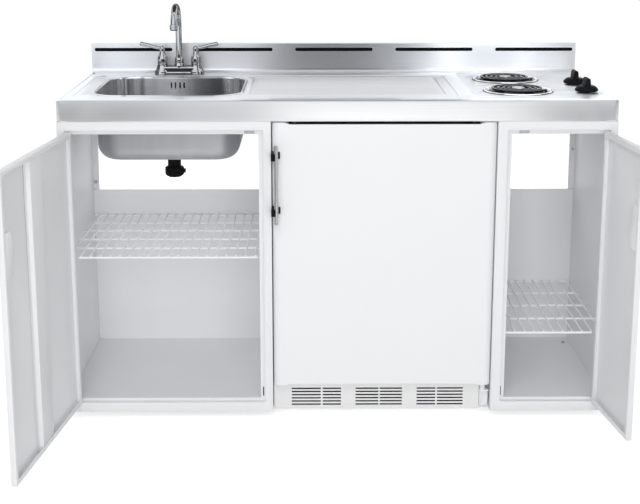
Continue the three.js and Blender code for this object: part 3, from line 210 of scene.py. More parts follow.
# ---------- Wire shelves ----------
# Round steel wire, welded where it crosses and dipped in white plastic: a few thick wires from
# side to side, and a row of thin ones on top from front to back.

worktop_low, worktop_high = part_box("worktop")
origin = np.array([(worktop_low.x + worktop_high.x) / 2, worktop_low.y, 0.0])


def placed(points):
    """Points given in millimetres from the middle of the worktop's front edge, in metres."""
    return np.asarray(points, float) * 0.001 + origin


def unit_box(name):
    """A CAD node's lowest and highest corner, in the millimetres that `placed` takes."""
    return [np.array(corner) * 1000 - origin * 1000 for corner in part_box(name)]


def cells(rows, columns, closed=True):
    """Corner numbers of the four-sided cells of a grid of points, whose rows are closed or open."""
    row = np.arange(rows - 1)[:, None] * columns
    column = np.arange(columns if closed else columns - 1)[None, :]
    beside = (column + 1) % columns
    return np.stack([row + column, row + beside, row + columns + beside, row + columns + column],
                    -1).reshape(-1, 4)


def stacked(parts):
    """Join (points, faces) pairs into one, with the face numbers moved along."""
    points, faces, count = [], [], 0
    for part_points, part_faces in parts:
        points.append(np.asarray(part_points).reshape(-1, 3))
        faces += [[corner + count for corner in face] for face in part_faces]
        count += len(points[-1])
    return np.concatenate(points), faces


def moved(form, offset):
    """The same (points, faces) at another place."""
    return form[0] + offset, form[1]


def made(name, form, material, finish, body="root", stands_for=(), crease=40):
    """A piece from (points, faces) in metres: doubles merged, faces turned out, curves smooth."""
    points, faces = form
    mesh = bpy.data.meshes.new(name)
    mesh.from_pydata(np.asarray(points).reshape(-1, 3).tolist(), [], [list(face) for face in faces])
    merged = bmesh.new()
    merged.from_mesh(mesh)
    bmesh.ops.remove_doubles(merged, verts=merged.verts, dist=4e-6)
    bmesh.ops.recalc_face_normals(merged, faces=merged.faces)
    merged.to_mesh(mesh)
    merged.free()
    piece = mounted(name, mesh, material, body, stands_for)
    mesh.set_sharp_from_angle(angle=math.radians(crease))
    return piece


def laid(name, form, *finish, **where):
    """A piece whose (points, faces) are in the millimetres that `placed` takes."""
    return made(name, (placed(form[0]), form[1]), *finish, **where)


def ring_about(along, radius, sides, upright=(0, 0, 1), flat=1.0):
    """Offsets of a ring's points from its middle, square to each direction: the side vector by
    the cosine plus the up vector by the sine, which is pressed flat above `flat`."""
    along = along / np.linalg.norm(along, axis=1, keepdims=True)
    side = np.cross(along, upright)
    side /= np.linalg.norm(side, axis=1, keepdims=True)
    up = np.cross(side, along)
    angle = np.linspace(0, 2 * np.pi, sides, endpoint=False)
    return radius * (np.cos(angle)[None, :, None] * side[:, None] +
                     np.minimum(np.sin(angle), flat)[None, :, None] * up[:, None])


def bars(starts, ends, radius, sides=10):
    """Round bars between two lists of points. Each is a grid: pole, ring, ring, pole."""
    ring = ring_about(ends - starts, radius, sides)
    starts, ends = starts[:, None], ends[:, None]
    points = np.stack([starts + 0 * ring, starts + ring, ends + ring, ends + 0 * ring], 1)
    first = (np.arange(len(starts)) * 4 * sides)[:, None, None]
    return points, (cells(4, sides)[None] + first).reshape(-1, 4)


white_wire = coated("white_dipped_wire", (0.94, 0.94, 0.94), (0.92, 0.92, 0.925), 0.38, 400.0,
                    0.00005)


def wire_shelf(side, crosses, inset=37.0, pitch=27.0, thick=3.3, thin=2.2, weld=0.4, tip=0.5):
    """Thick wires left to right. Thin ones front to back are sunk into them by the weld and end
    a tip short of the rear one's far side; the outer two are cut short in front."""
    low, high = unit_box(f"{side}_shelf")
    left, right, front, back = low[0], high[0], low[1] + thick, high[1] - thick
    height = low[2] + thick
    y = np.linspace(front, back, crosses)
    trim = np.where(np.arange(crosses) == 0, inset, 0)
    starts = np.stack([left + trim, y, np.full(crosses, height)], 1)
    ends = np.stack([right - trim, y, np.full(crosses, height)], 1)
    thick_wires = bars(starts, ends, thick)
    count = int((right - left - 4 * thin) // pitch)
    x = (left + right - count * pitch) / 2 + pitch * np.arange(count + 1)
    short = (x < left + inset) | (x > right - inset)
    level = np.full(count + 1, height + thick + thin - weld)
    starts = np.stack([x, np.where(short, y[1], y[0]) - thick, level], 1)
    ends = np.stack([x, np.full(count + 1, y[-1] + thick - tip), level], 1)
    laid(f"{side}_shelf_wires", stacked([thick_wires, bars(starts, ends, thin, 8)]), white_wire,
         "white_wire", stands_for=[f"{side}_shelf"])


wire_shelf("left", 6)
wire_shelf("right", 5)


# ---------- Worktop ----------
# One sheet of stainless steel, brushed along its length. Two shallow trays and a ribbed drainer
# are pressed into it, its edge is rolled and turned down, and a cove rises to the backsplash.

metal_inputs = {"Colour": (0.7, 0.7, 0.7, 1), "Streaks": (0.6, 0.6, 0.6, 1), "Roughness": 0.3,
                "Stretch": (3.0, 900.0, 900.0), "Depth": 0.000006}


def make_brushed_group():
    """Brushed metal: long fine streaks in colour, shine and height."""
    tree, given = group_tree("brushed_metal", metal_inputs)
    streaks = object_noise(tree, 1.0, 5.0, given["Stretch"])
    colour = tone_between(tree, streaks, given["Colour"], given["Streaks"], 0.25, 0.75)
    return put_out(tree, Colour=colour,
                   Roughness=drifting_roughness(tree, streaks, given["Roughness"], 0.04),
                   Normal=bumped(tree, streaks, given["Depth"], 0.3))


brushed_group = make_brushed_group()


def brushed(name, colour, streaks, roughness, stretch, depth=0.000006, group=brushed_group,
            across=None, **plain):
    """Brushed metal from two near colours, its noise stretched along three axes. `across` names a
    map whose U runs across the brushing, along which the metal spreads its reflections."""
    material = finished(name, group, {"Colour": (*colour, 1), "Streaks": (*streaks, 1),
                                      "Roughness": roughness, "Stretch": stretch, "Depth": depth},
                        Metallic=1.0, **plain)
    if across:
        tree = material.node_tree
        tangent = node(tree, "Tangent", direction_type="UV_MAP", uv_map=across)
        tree.links.new(tangent, tree.nodes["Principled BSDF"].inputs["Tangent"])
    return material


def lay_brushing(piece):
    """A map whose U runs across the brushing, on flat faces and on upright ones: U is Y plus Z.
    V is X, and a hundredth of Y less Z keeps an end face from shrinking to a line."""
    mesh = piece.data
    points = np.empty(len(mesh.vertices) * 3)
    mesh.vertices.foreach_get("co", points)
    corner = np.empty(len(mesh.loops), int)
    mesh.loops.foreach_get("vertex_index", corner)
    spot = points.reshape(-1, 3)[corner]
    layer = mesh.uv_layers.new(name="brushing")
    flat = np.stack([spot[:, 1] + spot[:, 2], spot[:, 0] + 0.01 * (spot[:, 1] - spot[:, 2])], 1)
    layer.uv.foreach_set("vector", flat.astype(np.float32).ravel())


worktop_steel = brushed("brushed_stainless_sheet", (0.92, 0.925, 0.93), (0.86, 0.865, 0.875), 0.3,
                        (2.5, 420.0, 420.0), 0.000003, across="brushing", Anisotropic=0.7)
# Painted shade: a darker copy of the same sheet's steel, for the drainer's field and the hob tray's
# floor.
shaded_sheet_steel = brushed("brushed_sheet_painted_shade", (0.80, 0.805, 0.815), (0.70, 0.705, 0.72), 0.34,
                        (2.5, 300.0, 300.0), 0.000003, across="brushing", Anisotropic=0.7)
top, depth, half_length = 914.4, 600.6, 762.0
tray_floor, tray_wall, tray_corner = 912.4, 2.2, 40.0


def rounded(x0, x1, y0, y1, radius, steps=10):
    """A closed loop round a rectangle: quarter circles of one radius at its four corners."""
    angle = np.linspace(0, np.pi / 2, steps + 1)[None, :] + np.arange(4)[:, None] * np.pi / 2
    middle_x = np.array([x1 - radius, x0 + radius, x0 + radius, x1 - radius])[:, None]
    middle_y = np.array([y1 - radius, y1 - radius, y0 + radius, y0 + radius])[:, None]
    return np.stack([middle_x + radius * np.cos(angle), middle_y + radius * np.sin(angle)],
                    -1).reshape(-1, 2)


def raised(loop, z):
    """A flat loop of points at one height."""
    return np.column_stack([loop, np.full(len(loop), z)])


def nested(x0, x1, y0, y1, radius, rows, steps=10):
    """Rounded loops one inside another: a row says how far its loop is drawn in, and its height."""
    return [raised(rounded(x0 + inset, x1 - inset, y0 + inset, y1 - inset, radius - inset,
                           steps), z) for inset, z in rows]


def filled(outer, holes, z):
    """Flat sheet at one height between an outer loop and the loops of its holes."""
    loops = [raised(loop, z) for loop in (outer, *holes)]
    return np.concatenate(loops), tessellate_polygon([[Vector(p) for p in loop] for loop in loops])


def between(loops, closed=True):
    """Bands of cells between loops of equal count."""
    points = np.stack(loops)
    return points, cells(len(loops), points.shape[1], closed)


def edge_run(inset):
    """The worktop's free edge at some distance in: left end, front and right end, round corners."""
    radius = max(14.0 - inset, 0.5)
    angle = np.linspace(np.pi, 1.5 * np.pi, 9)
    corner = np.stack([np.cos(angle), np.sin(angle)], 1) * radius
    left = corner + [-half_length + inset + radius, inset + radius]
    right = left[::-1] * [-1, 1]
    ends = np.array([[-half_length + inset, depth], [half_length - inset, depth]])
    return np.concatenate([ends[:1], left, right, ends[1:]])


# Section of the edge as inset and height: a drip groove, a rolled nose, the apron and its return.
edge_section = [
    (14, 914.4), (12.4, 914.3), (11.9, 913.9), (11.6, 912.4), (10.6, 911.9), (8.4, 912.0),
    (6.6, 913.4), (5.2, 914.2), (4.0, 914.4), (2.8, 914.2), (1.6, 913.5), (0.6, 912.2),
    (0.1, 910.8), (0, 909.5), (0, 859.5),
    (0.4, 857.4), (1.6, 856.2), (3.5, 855.92), (22, 855.92)]
edge = between([raised(edge_run(inset), z) for inset, z in edge_section], closed=False)


def tray_bands(*tray):
    """A tray's sloping wall, an S in section, from the deck down to the tray's floor."""
    rows = [(tray_wall * s, top - (top - tray_floor) * s * s * (3 - 2 * s))
            for s in np.linspace(0, 1, 7)]
    return between(nested(*tray, tray_corner, rows))


def drainer_grid(x0, x1, y0, y1, ribs=10, width=14.0, fall=2.5):
    """The drainer: its height is the sunk floor plus a parabolic ridge for each rib, and both
    run out to nothing at the field's edge."""
    ends = np.array([0, 0.8, 1.6, 2.6, 4, 9, 12, 14, 16, 18, 21, 25])
    x = np.concatenate([x0 + ends, np.linspace(x0 + 40, x1 - 40, 14), (x1 - ends)[::-1]])
    pitch = (y1 - y0) / ribs
    across = np.linspace(-0.5, 0.5, 13)[1:]
    ridges = (y0 + pitch * (np.arange(ribs)[:, None] + 0.5 + across)).ravel()
    y = np.unique(np.round(np.concatenate([y0 + ends[:4], ridges, y1 - ends[1:4]]), 3))
    grid_x, grid_y = np.meshgrid(x, y)
    from_end = np.minimum(grid_x - x0, x1 - grid_x)
    sunk = np.clip(np.minimum(from_end, np.minimum(grid_y - y0, y1 - grid_y)) / 2.6, 0, 1)
    off = np.abs((grid_y - y0) / pitch % 1 - 0.5) * pitch / (width / 2)
    run = np.clip((from_end - 9) / 16, 0, 1)
    ridge = np.clip(1 - off, 0, 1) * (1 + np.clip(off, 0, 1)) * run * (2 - run)
    z = tray_floor - fall * sunk * sunk * (3 - 2 * sunk) + (fall - 0.1) * ridge
    grid = np.stack([grid_x, grid_y, z], -1)
    border = np.concatenate([grid[0], grid[1:, -1], grid[-1, -2::-1], grid[-2:0:-1, 0]])[:, :2]
    return grid, cells(len(y), len(x), closed=False), border


def capped(count):
    """Faces of two rings of `count` points each: a band between them and a face on both."""
    rings = np.arange(2 * count).reshape(2, count)
    return [*cells(2, count), rings[0], rings[1, ::-1]]


def carried(profile, x0, x1):
    """A closed (Y, Z) outline carried from x0 to x1, with an end face at each."""
    ends = [np.column_stack([np.full(len(profile), x), profile]) for x in (x0, x1)]
    return np.concatenate(ends), capped(len(profile))


def painted(piece, material, chosen):
    """Give a second material to the faces whose middles, in millimetres, `chosen` picks out."""
    piece.data.materials.append(material)
    middles = np.array([face.center for face in piece.data.polygons]) * 1000 - origin * 1000
    piece.data.polygons.foreach_set("material_index", chosen(*middles.T).astype(np.int32))


def thickened(piece, thickness, under=0):
    """Turn an open sheet face up and thicken it downwards; `under` is the material's step there."""
    if np.array([face.normal.z * face.area for face in piece.data.polygons]).sum() < 0:
        piece.data.flip_normals()
    wall = piece.modifiers.new("sheet", "SOLIDIFY")
    wall.thickness, wall.offset, wall.material_offset = thickness, -1.0, under


drainer_field = (-247.5, 306.5, 124.0, 485.0)
drainer, drainer_cells, drainer_border = drainer_grid(*drainer_field)
sink_tray = (-732.0, 336.5, 58.0, 518.0)
hob_tray = (378.0, 745.0, 82.0, 582.0)
bowl_hole = rounded(-684.5, -268.5, 95.0, 487.0, 78.0)
burner_places = np.array([[516.0, 189.0], [516.0, 432.0]])
around = np.linspace(0, 2 * np.pi, 48, endpoint=False)
burner_hole = 91.0 * np.stack([np.cos(around), np.sin(around)], 1)
trays = [rounded(*tray, tray_corner) for tray in (sink_tray, hob_tray)]
floors = [nested(*tray, tray_corner, [(tray_wall, 0)])[0][:, :2] for tray in (sink_tray, hob_tray)]
sheet = laid("worktop_sheet", stacked([
    edge,
    filled(edge_run(14), trays, top),
    tray_bands(*sink_tray), tray_bands(*hob_tray),
    filled(floors[0], [bowl_hole, drainer_border], tray_floor),
    filled(floors[1], [place + burner_hole for place in burner_places], tray_floor),
    (drainer, drainer_cells),
]), worktop_steel, "brushed_steel", stands_for=["worktop"], crease=50)


def painted_shade_faces(x, y, z, near=0.2):
    """Where the sheet's steel gets painted shade: the drainer's field, and the flat floor of the
    hob's tray.
    """
    x0, x1, y0, y1 = drainer_field
    in_drainer = (x > x0) & (x < x1) & (y > y0) & (y < y1) & (z < tray_floor + near)
    return in_drainer | (x > hob_tray[0]) & (x < hob_tray[1]) & (abs(z - tray_floor) < near)


painted(sheet, shaded_sheet_steel, painted_shade_faces)
thickened(sheet, 0.0012)
lay_brushing(sheet)

turn = np.radians(np.linspace(-90, 0, 10))
cove_section = np.concatenate([
    [[583.5, 914.42]], [588.6, 926.4] + 11.6 * np.stack([np.cos(turn), np.sin(turn)], 1),
    [[600.6, 926.4], [600.6, 914.42]]])
lay_brushing(laid("worktop_cove", carried(cove_section, -half_length, half_length), worktop_steel,
                  "brushed_steel"))


# ---------- Backsplash ----------
# A hollow duct of the same brushed sheet against the wall. Air from behind the refrigerator
# leaves through five long slots under its top edge; a black strip inside is painted shade,
# which darkens the slots and hides the wall.

splash_steel = brushed("brushed_backsplash_sheet", (0.90, 0.905, 0.91), (0.85, 0.855, 0.865), 0.42,
                       (2.0, 420.0, 420.0), 0.000003, across="brushing", Anisotropic=0.8)
lay_brushing(softened("backsplash", 0.0, splash_steel))
# Painted shade: this black goes only where shade should fall. It sits behind the backsplash's slots
# and the overflow slots, under the drip bowls' lips and behind the kick grille.
black_for_shade = coated("painted_shade_black", (0.006, 0.006, 0.007), (0.01, 0.01, 0.011), 0.8,
                     Specular_IOR_Level=0.1)
# Painted shade: a black strip inside the duct, behind the slots.
slot_shade_section = [[609, 972], [609.6, 972], [609.6, 1003], [603, 1003], [603, 1002.4],
                  [609, 1002.4]]
laid("backsplash_slot_shade", carried(slot_shade_section, -758, 758), black_for_shade, "black_plastic")


# ---------- Sink bowl and waste ----------
# A deep-drawn stainless bowl with round corners, a rolled rim and a floor that falls to the
# waste. The overflow is a row of upright slots, drawn as black plates of painted shade. Below
# hang a black plastic tail and its nut.

# Painted reflections: tones by share of the bowl's length, painted into the steel's colour after
# the bright and dark bands that its walls mirror.
painted_reflection_tones = [(0.0, 0.7), (0.05, 0.8), (0.07, 1.0), (0.21, 1.0), (0.235, 0.5), (0.26, 0.92),
              (0.45, 0.86), (0.62, 0.4), (0.8, 0.36), (0.86, 1.0), (0.93, 1.0), (1.0, 0.7)]


def make_painted_reflection_group(first, last):
    """Brushed metal with painted reflections: its tone rises and falls along X, from `first` to
    `last` in metres.
    """
    tree, given = group_tree("bowl_metal_painted_reflections", metal_inputs)
    metal = tree.nodes.new("ShaderNodeGroup")
    metal.node_tree = brushed_group
    for socket in metal_inputs:
        tree.links.new(given[socket], metal.inputs[socket])
    along = node(tree, "SeparateXYZ", {0: node(tree, "TexCoord", output="Object")}, "X")
    share = node(tree, "MapRange", {"Value": along, "From Min": first, "From Max": last})
    tone = node(tree, "ValToRGB", {"Fac": share})
    stops = tone.node.color_ramp.elements
    for spot, level in painted_reflection_tones[1:-1]:
        stops.new(spot)
    for stop, (spot, level) in zip(stops, painted_reflection_tones):
        stop.color = (level, level, level, 1)
    colour = node(tree, "Mix", {0: 1.0, 6: metal.outputs["Colour"], 7: tone}, 2,
                  data_type="RGBA", blend_type="MULTIPLY")
    return put_out(tree, Colour=colour, Roughness=metal.outputs["Roughness"],
                   Normal=metal.outputs["Normal"])


bowl_low, bowl_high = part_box("sink_bowl")
# Painted reflections: the bowl's steel carries bright and dark bands in its colour.
bowl_steel = brushed("drawn_bowl_steel_painted_reflections", (0.99, 0.99, 0.995), (0.96, 0.962, 0.968), 0.12,
                     (90.0, 90.0, 6.0), 0.000002, make_painted_reflection_group(bowl_low.x, bowl_high.x))
bowl_underside = brushed("satin_bowl_underside", (0.60, 0.605, 0.62), (0.56, 0.565, 0.58), 0.5,
                         (40.0, 40.0, 8.0), 0.000002)


def bowl_skin(x, y, half_x, half_y):
    """Rim, wall, floor curve and floor as loops about (x, y), from the outer rim to the waste.
    The last loops are circles, each a point drawn out by its radius."""
    rim = [(-8.8, 912.75), (-8.6, 913.4), (-7.6, 914.3), (-5.8, 914.85), (-3.8, 914.8),
           (-2.0, 914.2), (-0.8, 913.0), (0.0, 910.8)]
    lean, brim, foot, bend = 4, 910.8, 767.2, 42
    wall = [(lean * s, brim - (brim - foot) * s)
            for s in (0.006, 0.02, 0.1, 0.3, 0.5, 0.75, 0.97, 1)]
    turn = np.radians(np.linspace(8, 90, 10))
    curve = np.stack([lean + bend * (1 - np.cos(turn)), foot - bend * np.sin(turn)], 1)
    waste = [(-60, 721.6), (-40, 721.2), (-37, 720.8), (-36, 720.2), (-16, 720.1)]
    return between(nested(x - half_x, x + half_x, y - half_y, y + half_y, 75,
                          [*rim, *wall, *curve], 14) + nested(x, x, y, y, 0, waste, 14))


bowl = laid("sink_bowl_skin", bowl_skin(-476.5, 291, 205, 193), bowl_steel, "brushed_steel",
            stands_for=["sink_bowl"], crease=60)
bowl.data.materials.append(bowl_underside)
thickened(bowl, 0.001, under=1)


def capsule_plate(x, z, half_width, half_height, y, thickness):
    """A thin upright plate with round ends, facing the front."""
    loop = rounded(x - half_width, x + half_width, z - half_height, z + half_height,
                   min(half_width, half_height), 5)
    ends = [np.insert(loop, 1, level, axis=1) for level in (y, y + thickness)]
    return np.concatenate(ends), capped(len(loop))


# Painted shade: black plates stand for the dark inside of the overflow slots.
laid("overflow_slot_shade", stacked([capsule_plate(x, 888.5, 2.2, 9.5, 483.1, 0.5)
                                for x in (-501.0, -488.5, -474.5, -462.0)]),
     black_for_shade, "black_plastic")


def spun(profile, middle, sides=40):
    """A profile of radius and height turned about an upright axis through `middle`."""
    profile = np.asarray(profile, float)
    angle = np.linspace(0, 2 * np.pi, sides, endpoint=False)
    radius, height = profile[:, :1], profile[:, 1:]
    points = np.stack([middle[0] + radius * np.cos(angle), middle[1] + radius * np.sin(angle),
                       middle[2] + height + 0 * angle], -1)
    return points, cells(len(profile), sides)


def make_smudge_group():
    """Polished metal: shine that drifts with faint smudges, and a slight wave in the plating."""
    tree, given = group_tree("polished_metal", {"Roughness": 0.06, "Depth": 0.00002})
    smudges = object_noise(tree, 45.0, 4.0)
    return put_out(tree, Roughness=drifting_roughness(tree, smudges, given["Roughness"], 0.04),
                   Normal=bumped(tree, smudges, given["Depth"], 0.2))


smudge_group = make_smudge_group()
# The chrome's grey is near the metal's own. Its dark tint at grazing angles is painted reflection,
# which darkens the edges as if they mirrored dark surroundings.
chrome = finished("polished_chrome", smudge_group, {"Roughness": 0.07}, Metallic=1.0,
                  Base_Color=(0.52, 0.525, 0.53, 1), Specular_Tint=(0.1, 0.1, 0.11, 1))
softened("sink_strainer", 0.0, chrome)
black_plastic = coated("black_moulded_plastic", (0.007, 0.007, 0.008), (0.011, 0.011, 0.012), 0.45,
                       900.0, 0.00004, Specular_IOR_Level=0.05)
for name in ("drain_tailpiece", "drain_nut"):
    softened(name, 0.0008, black_plastic)


# ---------- Tap ----------
# Chrome-plated brass: a bridge with two flanged posts, a gooseneck spout that swivels in a
# domed nut, and two lever handles that point outwards.

tap_low, tap_high = unit_box("tap_body")
deck, post_reach = 914.7, 52.0
tap_middle = np.array([*(tap_low + tap_high)[:2] / 2, deck])


def tube(path, radius, sides=24, upright=(0, 0, 1), flat=1.0):
    """A round tube along a path; `radius` is one number or one for each point."""
    path = np.asarray(path, float)
    radius = np.broadcast_to(radius, len(path))[:, None, None]
    ring = ring_about(np.gradient(path, axis=0), radius, sides, upright, flat)
    points = path[:, None] + ring
    points = np.concatenate([points[:1] * 0 + path[0], points, points[:1] * 0 + path[-1]])
    return points, cells(len(path) + 2, sides)


def smooth_path(knots, count):
    """A smooth curve through the knots: cubic pieces with Catmull-Rom slopes."""
    knots = np.asarray(knots, float)
    slopes = np.gradient(knots, axis=0)
    spot = np.linspace(0, len(knots) - 1, count)
    index = np.minimum(spot.astype(int), len(knots) - 2)
    t = (spot - index)[:, None]
    first, last = knots[index], knots[index + 1]
    return (first * (2 * t**3 - 3 * t**2 + 1) + slopes[index] * (t**3 - 2 * t**2 + t) +
            last * (3 * t**2 - 2 * t**3) + slopes[index + 1] * (t**3 - t**2))


def domed(loops):
    """Bands between loops, closed at the middle of the last."""
    return between([*loops, loops[-1] * 0 + loops[-1].mean(axis=0)])


bridge_rows = [(0, 0), (0, 2.5), (3.5, 4.5), (6, 7), (6.8, 11), (7, 19), (7.6, 22.5), (9.2, 25.2),
               (12.5, 26.9), (17, 27.4)]
bridge = domed(nested(-77, 77, -24.5, 24.5, 24.4, bridge_rows, 12))
post = [(0, 0), (24.5, 0), (24.5, 8), (23.4, 11), (20.4, 15.5), (18, 21), (16.8, 26),
        (15.8, 28.7), (0, 29)]
collar = [(0, 0), (17, 0), (17, 24), (15.5, 33), (13.5, 36.5), (10.2, 36.8), (0, 36.8)]
laid("tap_body_plated", stacked([
    moved(bridge, tap_middle), spun(post, tap_middle - [post_reach, 0, 0]),
    spun(post, tap_middle + [post_reach, 0, 0]), spun(collar, tap_middle)]),
     chrome, "chrome", stands_for=["tap_body"], crease=50)


def spout_parts():
    """The domed nut, a riser that runs into an arc of 170 degrees, and the aerator at its end."""
    bend, foot = 70, 143.9
    rise = np.column_stack([np.zeros(8), np.zeros(8), np.linspace(37, 139.2, 8)])
    angle = np.radians(np.linspace(0, 170, 34))[1:]
    arc = np.column_stack([np.zeros(33), -bend * (1 - np.cos(angle)), foot + bend * np.sin(angle)])
    path = np.concatenate([rise, [[0, 0, foot]], arc]) + tap_middle
    pipe = tube(path, 9.5, 28, upright=(1, 0, 0))
    nut = spun([(0, 37.3), (13, 37.3), (14, 38.6), (14, 46.5), (13.1, 50), (11.2, 52.8), (9.7, 54),
                (0, 54)], tap_middle)
    down = path[-1] - path[-2]
    down /= np.linalg.norm(down)
    steps = np.array([-8, -7.4, -6, -1, 0, 1, 6.5, 8, 8.4])
    wide = np.array([9.6, 11, 11.9, 11.9, 11.2, 11.9, 11.9, 11.2, 9.8])
    aerator = tube(path[-1] + [0, 0, 1.0] + steps[:, None] * down, wide, 28, upright=(1, 0, 0))
    return [pipe, nut, aerator]


laid("tap_spout_plated", stacked(spout_parts()), chrome, "chrome", body="tap_spout",
     stands_for=["tap_spout"], crease=50)


def handle_parts(side):
    """A domed hub with a narrow neck, and a lever that swells towards its rounded tip."""
    hub = [(0, 0), (14.4, 0), (15, 1), (15, 20), (14.4, 24), (12.4, 28), (9.8, 32), (8.4, 37),
           (8, 43), (8.6, 48), (9, 51.5), (8.4, 55), (6.2, 57.8), (0, 59)]
    middle = tap_middle + [side * post_reach, 0, 29.3]
    reach = smooth_path([[0, 0, 51], [side * 10, 0, 52.5], [side * 24, 0, 55.5],
                         [side * 42, 0, 60.5], [side * 62, 0, 64.5], [side * 69, 0, 65.5]], 30)
    swell = np.interp(np.linspace(0, 1, 30), [0, 0.3, 0.75, 0.9, 0.97, 1],
                      [5.0, 4.8, 6.4, 7.0, 5, 0.6])
    return [spun(hub, middle), tube(reach + middle, swell, 20)]


for name, side in (("hot", -1), ("cold", 1)):
    laid(f"tap_handle_{name}_plated", stacked(handle_parts(side)), chrome, "chrome",
         body=f"tap_handle_{name}", stands_for=[f"tap_handle_{name}"], crease=50)


# ---------- Coil burners ----------
# A chromed drip bowl drops into each hole. On its ledge stands a three-armed support, and on
# that lies the element: one black sheathed tube, wound flat, whose two ends plug in at the right.

drip_chrome = finished("drip_bowl_chrome", smudge_group, {"Roughness": 0.1}, Metallic=1.0,
                       Base_Color=(0.90, 0.90, 0.90, 1))
drip_shade = finished("drip_bowl_painted_shade", smudge_group, {"Roughness": 0.2}, Metallic=1.0,
                      Base_Color=(0.10, 0.10, 0.105, 1))
coil_black = coated("burnt_black_sheath", (0.006, 0.006, 0.006), (0.012, 0.011, 0.01), 0.22, 500.0,
                    0.00001, Specular_IOR_Level=0.15)
support_steel = brushed("stamped_support_steel", (0.62, 0.62, 0.62), (0.5, 0.5, 0.5), 0.35,
                        (120.0, 120.0, 120.0))
drip_section = [
    (97.6, 0.35), (98, 1.2), (97.6, 2.9), (96.2, 3.9), (94.4, 4.15), (92.6, 3.7), (91, 2.2),
    (90, 0), (89.6, -3), (88.6, -4), (80.4, -4.1), (79.4, -5), (78.5, -9), (76, -19), (73, -23.5),
    (66, -26.4), (45, -27.4), (23, -28), (22.5, -28.5), (23, -29), (45, -28.4), (66.5, -27.4),
    (74, -24.4), (77, -19.6), (79.4, -9.4), (80.4, -5.1), (90.6, -5), (91, 0.35)]


def coil_path():
    """Along one lead, up into a flat spiral whose radius grows evenly with its angle, and back
    down to the second lead beside the first."""
    start = [[104, 9, -14.4], [92, 9, -14.4], [82, 9.5, -13.9], [72, 12, -11.9], [58, 18, -10.4],
             [42, 23, -10.2], [30, 24, -9.4], [20, 24, -5.4], [10, 24, 3.1]]
    turn = np.linspace(0, 3.67, 89)
    angle = np.radians(90 + 360 * turn)
    radius = 24 + 54.5 * turn / 3.67
    spiral = np.column_stack([radius * np.cos(angle), radius * np.sin(angle), np.full(89, 8.6)])
    end = [[75.5, -24, 6.6], [77, -14.5, -0.4], [78, -10, -9.4], [84, -9, -13.9], [92, -9, -14.4],
           [104, -9, -14.4]]
    return smooth_path(np.concatenate([start, spiral, end]), 420)


spiral_tube = tube(coil_path(), 3.6, 16, flat=0.55)


def support_parts():
    """Three arms on edge, each a flat bar, under a small dished medallion."""
    turn = np.radians([30, 150, 270])
    arm = np.array([[0, -0.8, -3.7], [88, -0.8, -3.7], [88, 0.8, -3.7], [0, 0.8, -3.7]])
    arm = np.concatenate([arm, arm + [0, 0, 8]])
    faces = [[0, 3, 2, 1], [4, 5, 6, 7], [0, 1, 5, 4], [1, 2, 6, 5], [2, 3, 7, 6], [3, 0, 4, 7]]
    arms = [(arm @ np.array([[np.cos(t), np.sin(t), 0], [-np.sin(t), np.cos(t), 0], [0, 0, 1]]),
             faces) for t in turn]
    medallion = spun([(0, -3.7), (7, -3.7), (7, 3.3), (17.4, 3.6), (18, 5), (18, 9.4), (17.2, 10.8),
                      (15.6, 11.3), (13.8, 10.9), (12, 10.4), (6, 10.9), (0, 11.4)], [0, 0, 0], 32)
    return [*arms, medallion]


support = stacked(support_parts())
# Inside its ledge each drip bowl is painted dark, as painted shade under the coil.
ledge_radius = 89.0
for where, (x, y) in zip(("front", "rear"), burner_places):
    here = np.array([x, y, tray_floor])
    dish = laid(f"drip_bowl_{where}_plated", spun([*drip_section, drip_section[0]], here, 64),
                drip_chrome, "chrome", stands_for=[f"drip_bowl_{where}"], crease=50)
    painted(dish, drip_shade, lambda px, py, pz: np.hypot(px - x, py - y) < ledge_radius)
    # Painted shadow: a thin black ring under each drip bowl's lip darkens the gap to the sheet.
    lip_shadow = spun([(97.9, 0.05), (99.5, 0.05), (99.5, 0.7), (97.9, 1.0)], here, 64)
    laid(f"drip_bowl_{where}_seam", lip_shadow, black_for_shade, "black_plastic")
    laid(f"burner_coil_{where}_wound", moved(spiral_tube, here), coil_black, "coil_black",
         stands_for=[f"burner_coil_{where}"], crease=60)
    laid(f"burner_spider_{where}_stamped", moved(support, here), support_steel, "zinc_steel",
         stands_for=[f"burner_spider_{where}"])


# ---------- Burner knobs, switches and the pan under the hob ----------
# Black moulded knobs push onto the stems of two switches under the sheet. A plated tray closes
# the space below the hob and carries the sockets for the elements.

def knob_parts():
    """A round skirt with a waist, and a tall grip whose sides draw in towards its rounded top."""
    skirt = spun([(0, 0), (29.5, 0), (31.8, 1.2), (32.4, 3), (32.2, 6.5), (30.5, 8.6), (27, 12.2),
                  (24.5, 14.4), (20, 15.8), (0, 16.2)], [0, 0, 0], 48)
    rows = [(0, 8), (0.4, 16), (1, 25), (1.5, 31), (2.3, 35.2), (3.8, 37.2), (6.2, 38)]
    stem = spun([(0, -28), (3, -28), (3, 1), (0, 1)], [0, 0, 0], 16)
    return [skirt, domed(nested(-8, 8, -29, 29, 7.6, rows, 8)), stem]


knob, knob_x, knob_seat = stacked(knob_parts()), 704.0, tray_floor + 4
for where, y in (("front", 157.0), ("rear", 322.0)):
    laid(f"knob_{where}_moulded", moved(knob, [knob_x, y, knob_seat]), black_plastic,
         "black_plastic", body=f"knob_{where}", stands_for=[f"knob_{where}"], crease=50)
plated_steel = brushed("zinc_plated_steel", (0.60, 0.61, 0.62), (0.50, 0.51, 0.53), 0.38,
                       (90.0, 90.0, 90.0))
dress(plated_steel, "burner_switch_front", "burner_switch_rear", "hob_underpan", "left_catch",
      "right_catch")


# ---------- Cupboard doors ----------
# Folded pans of the same coated sheet, each with a moulded cup pull. They turn on butt hinges,
# and the wide one is stiffened by a folded hat section up its middle.

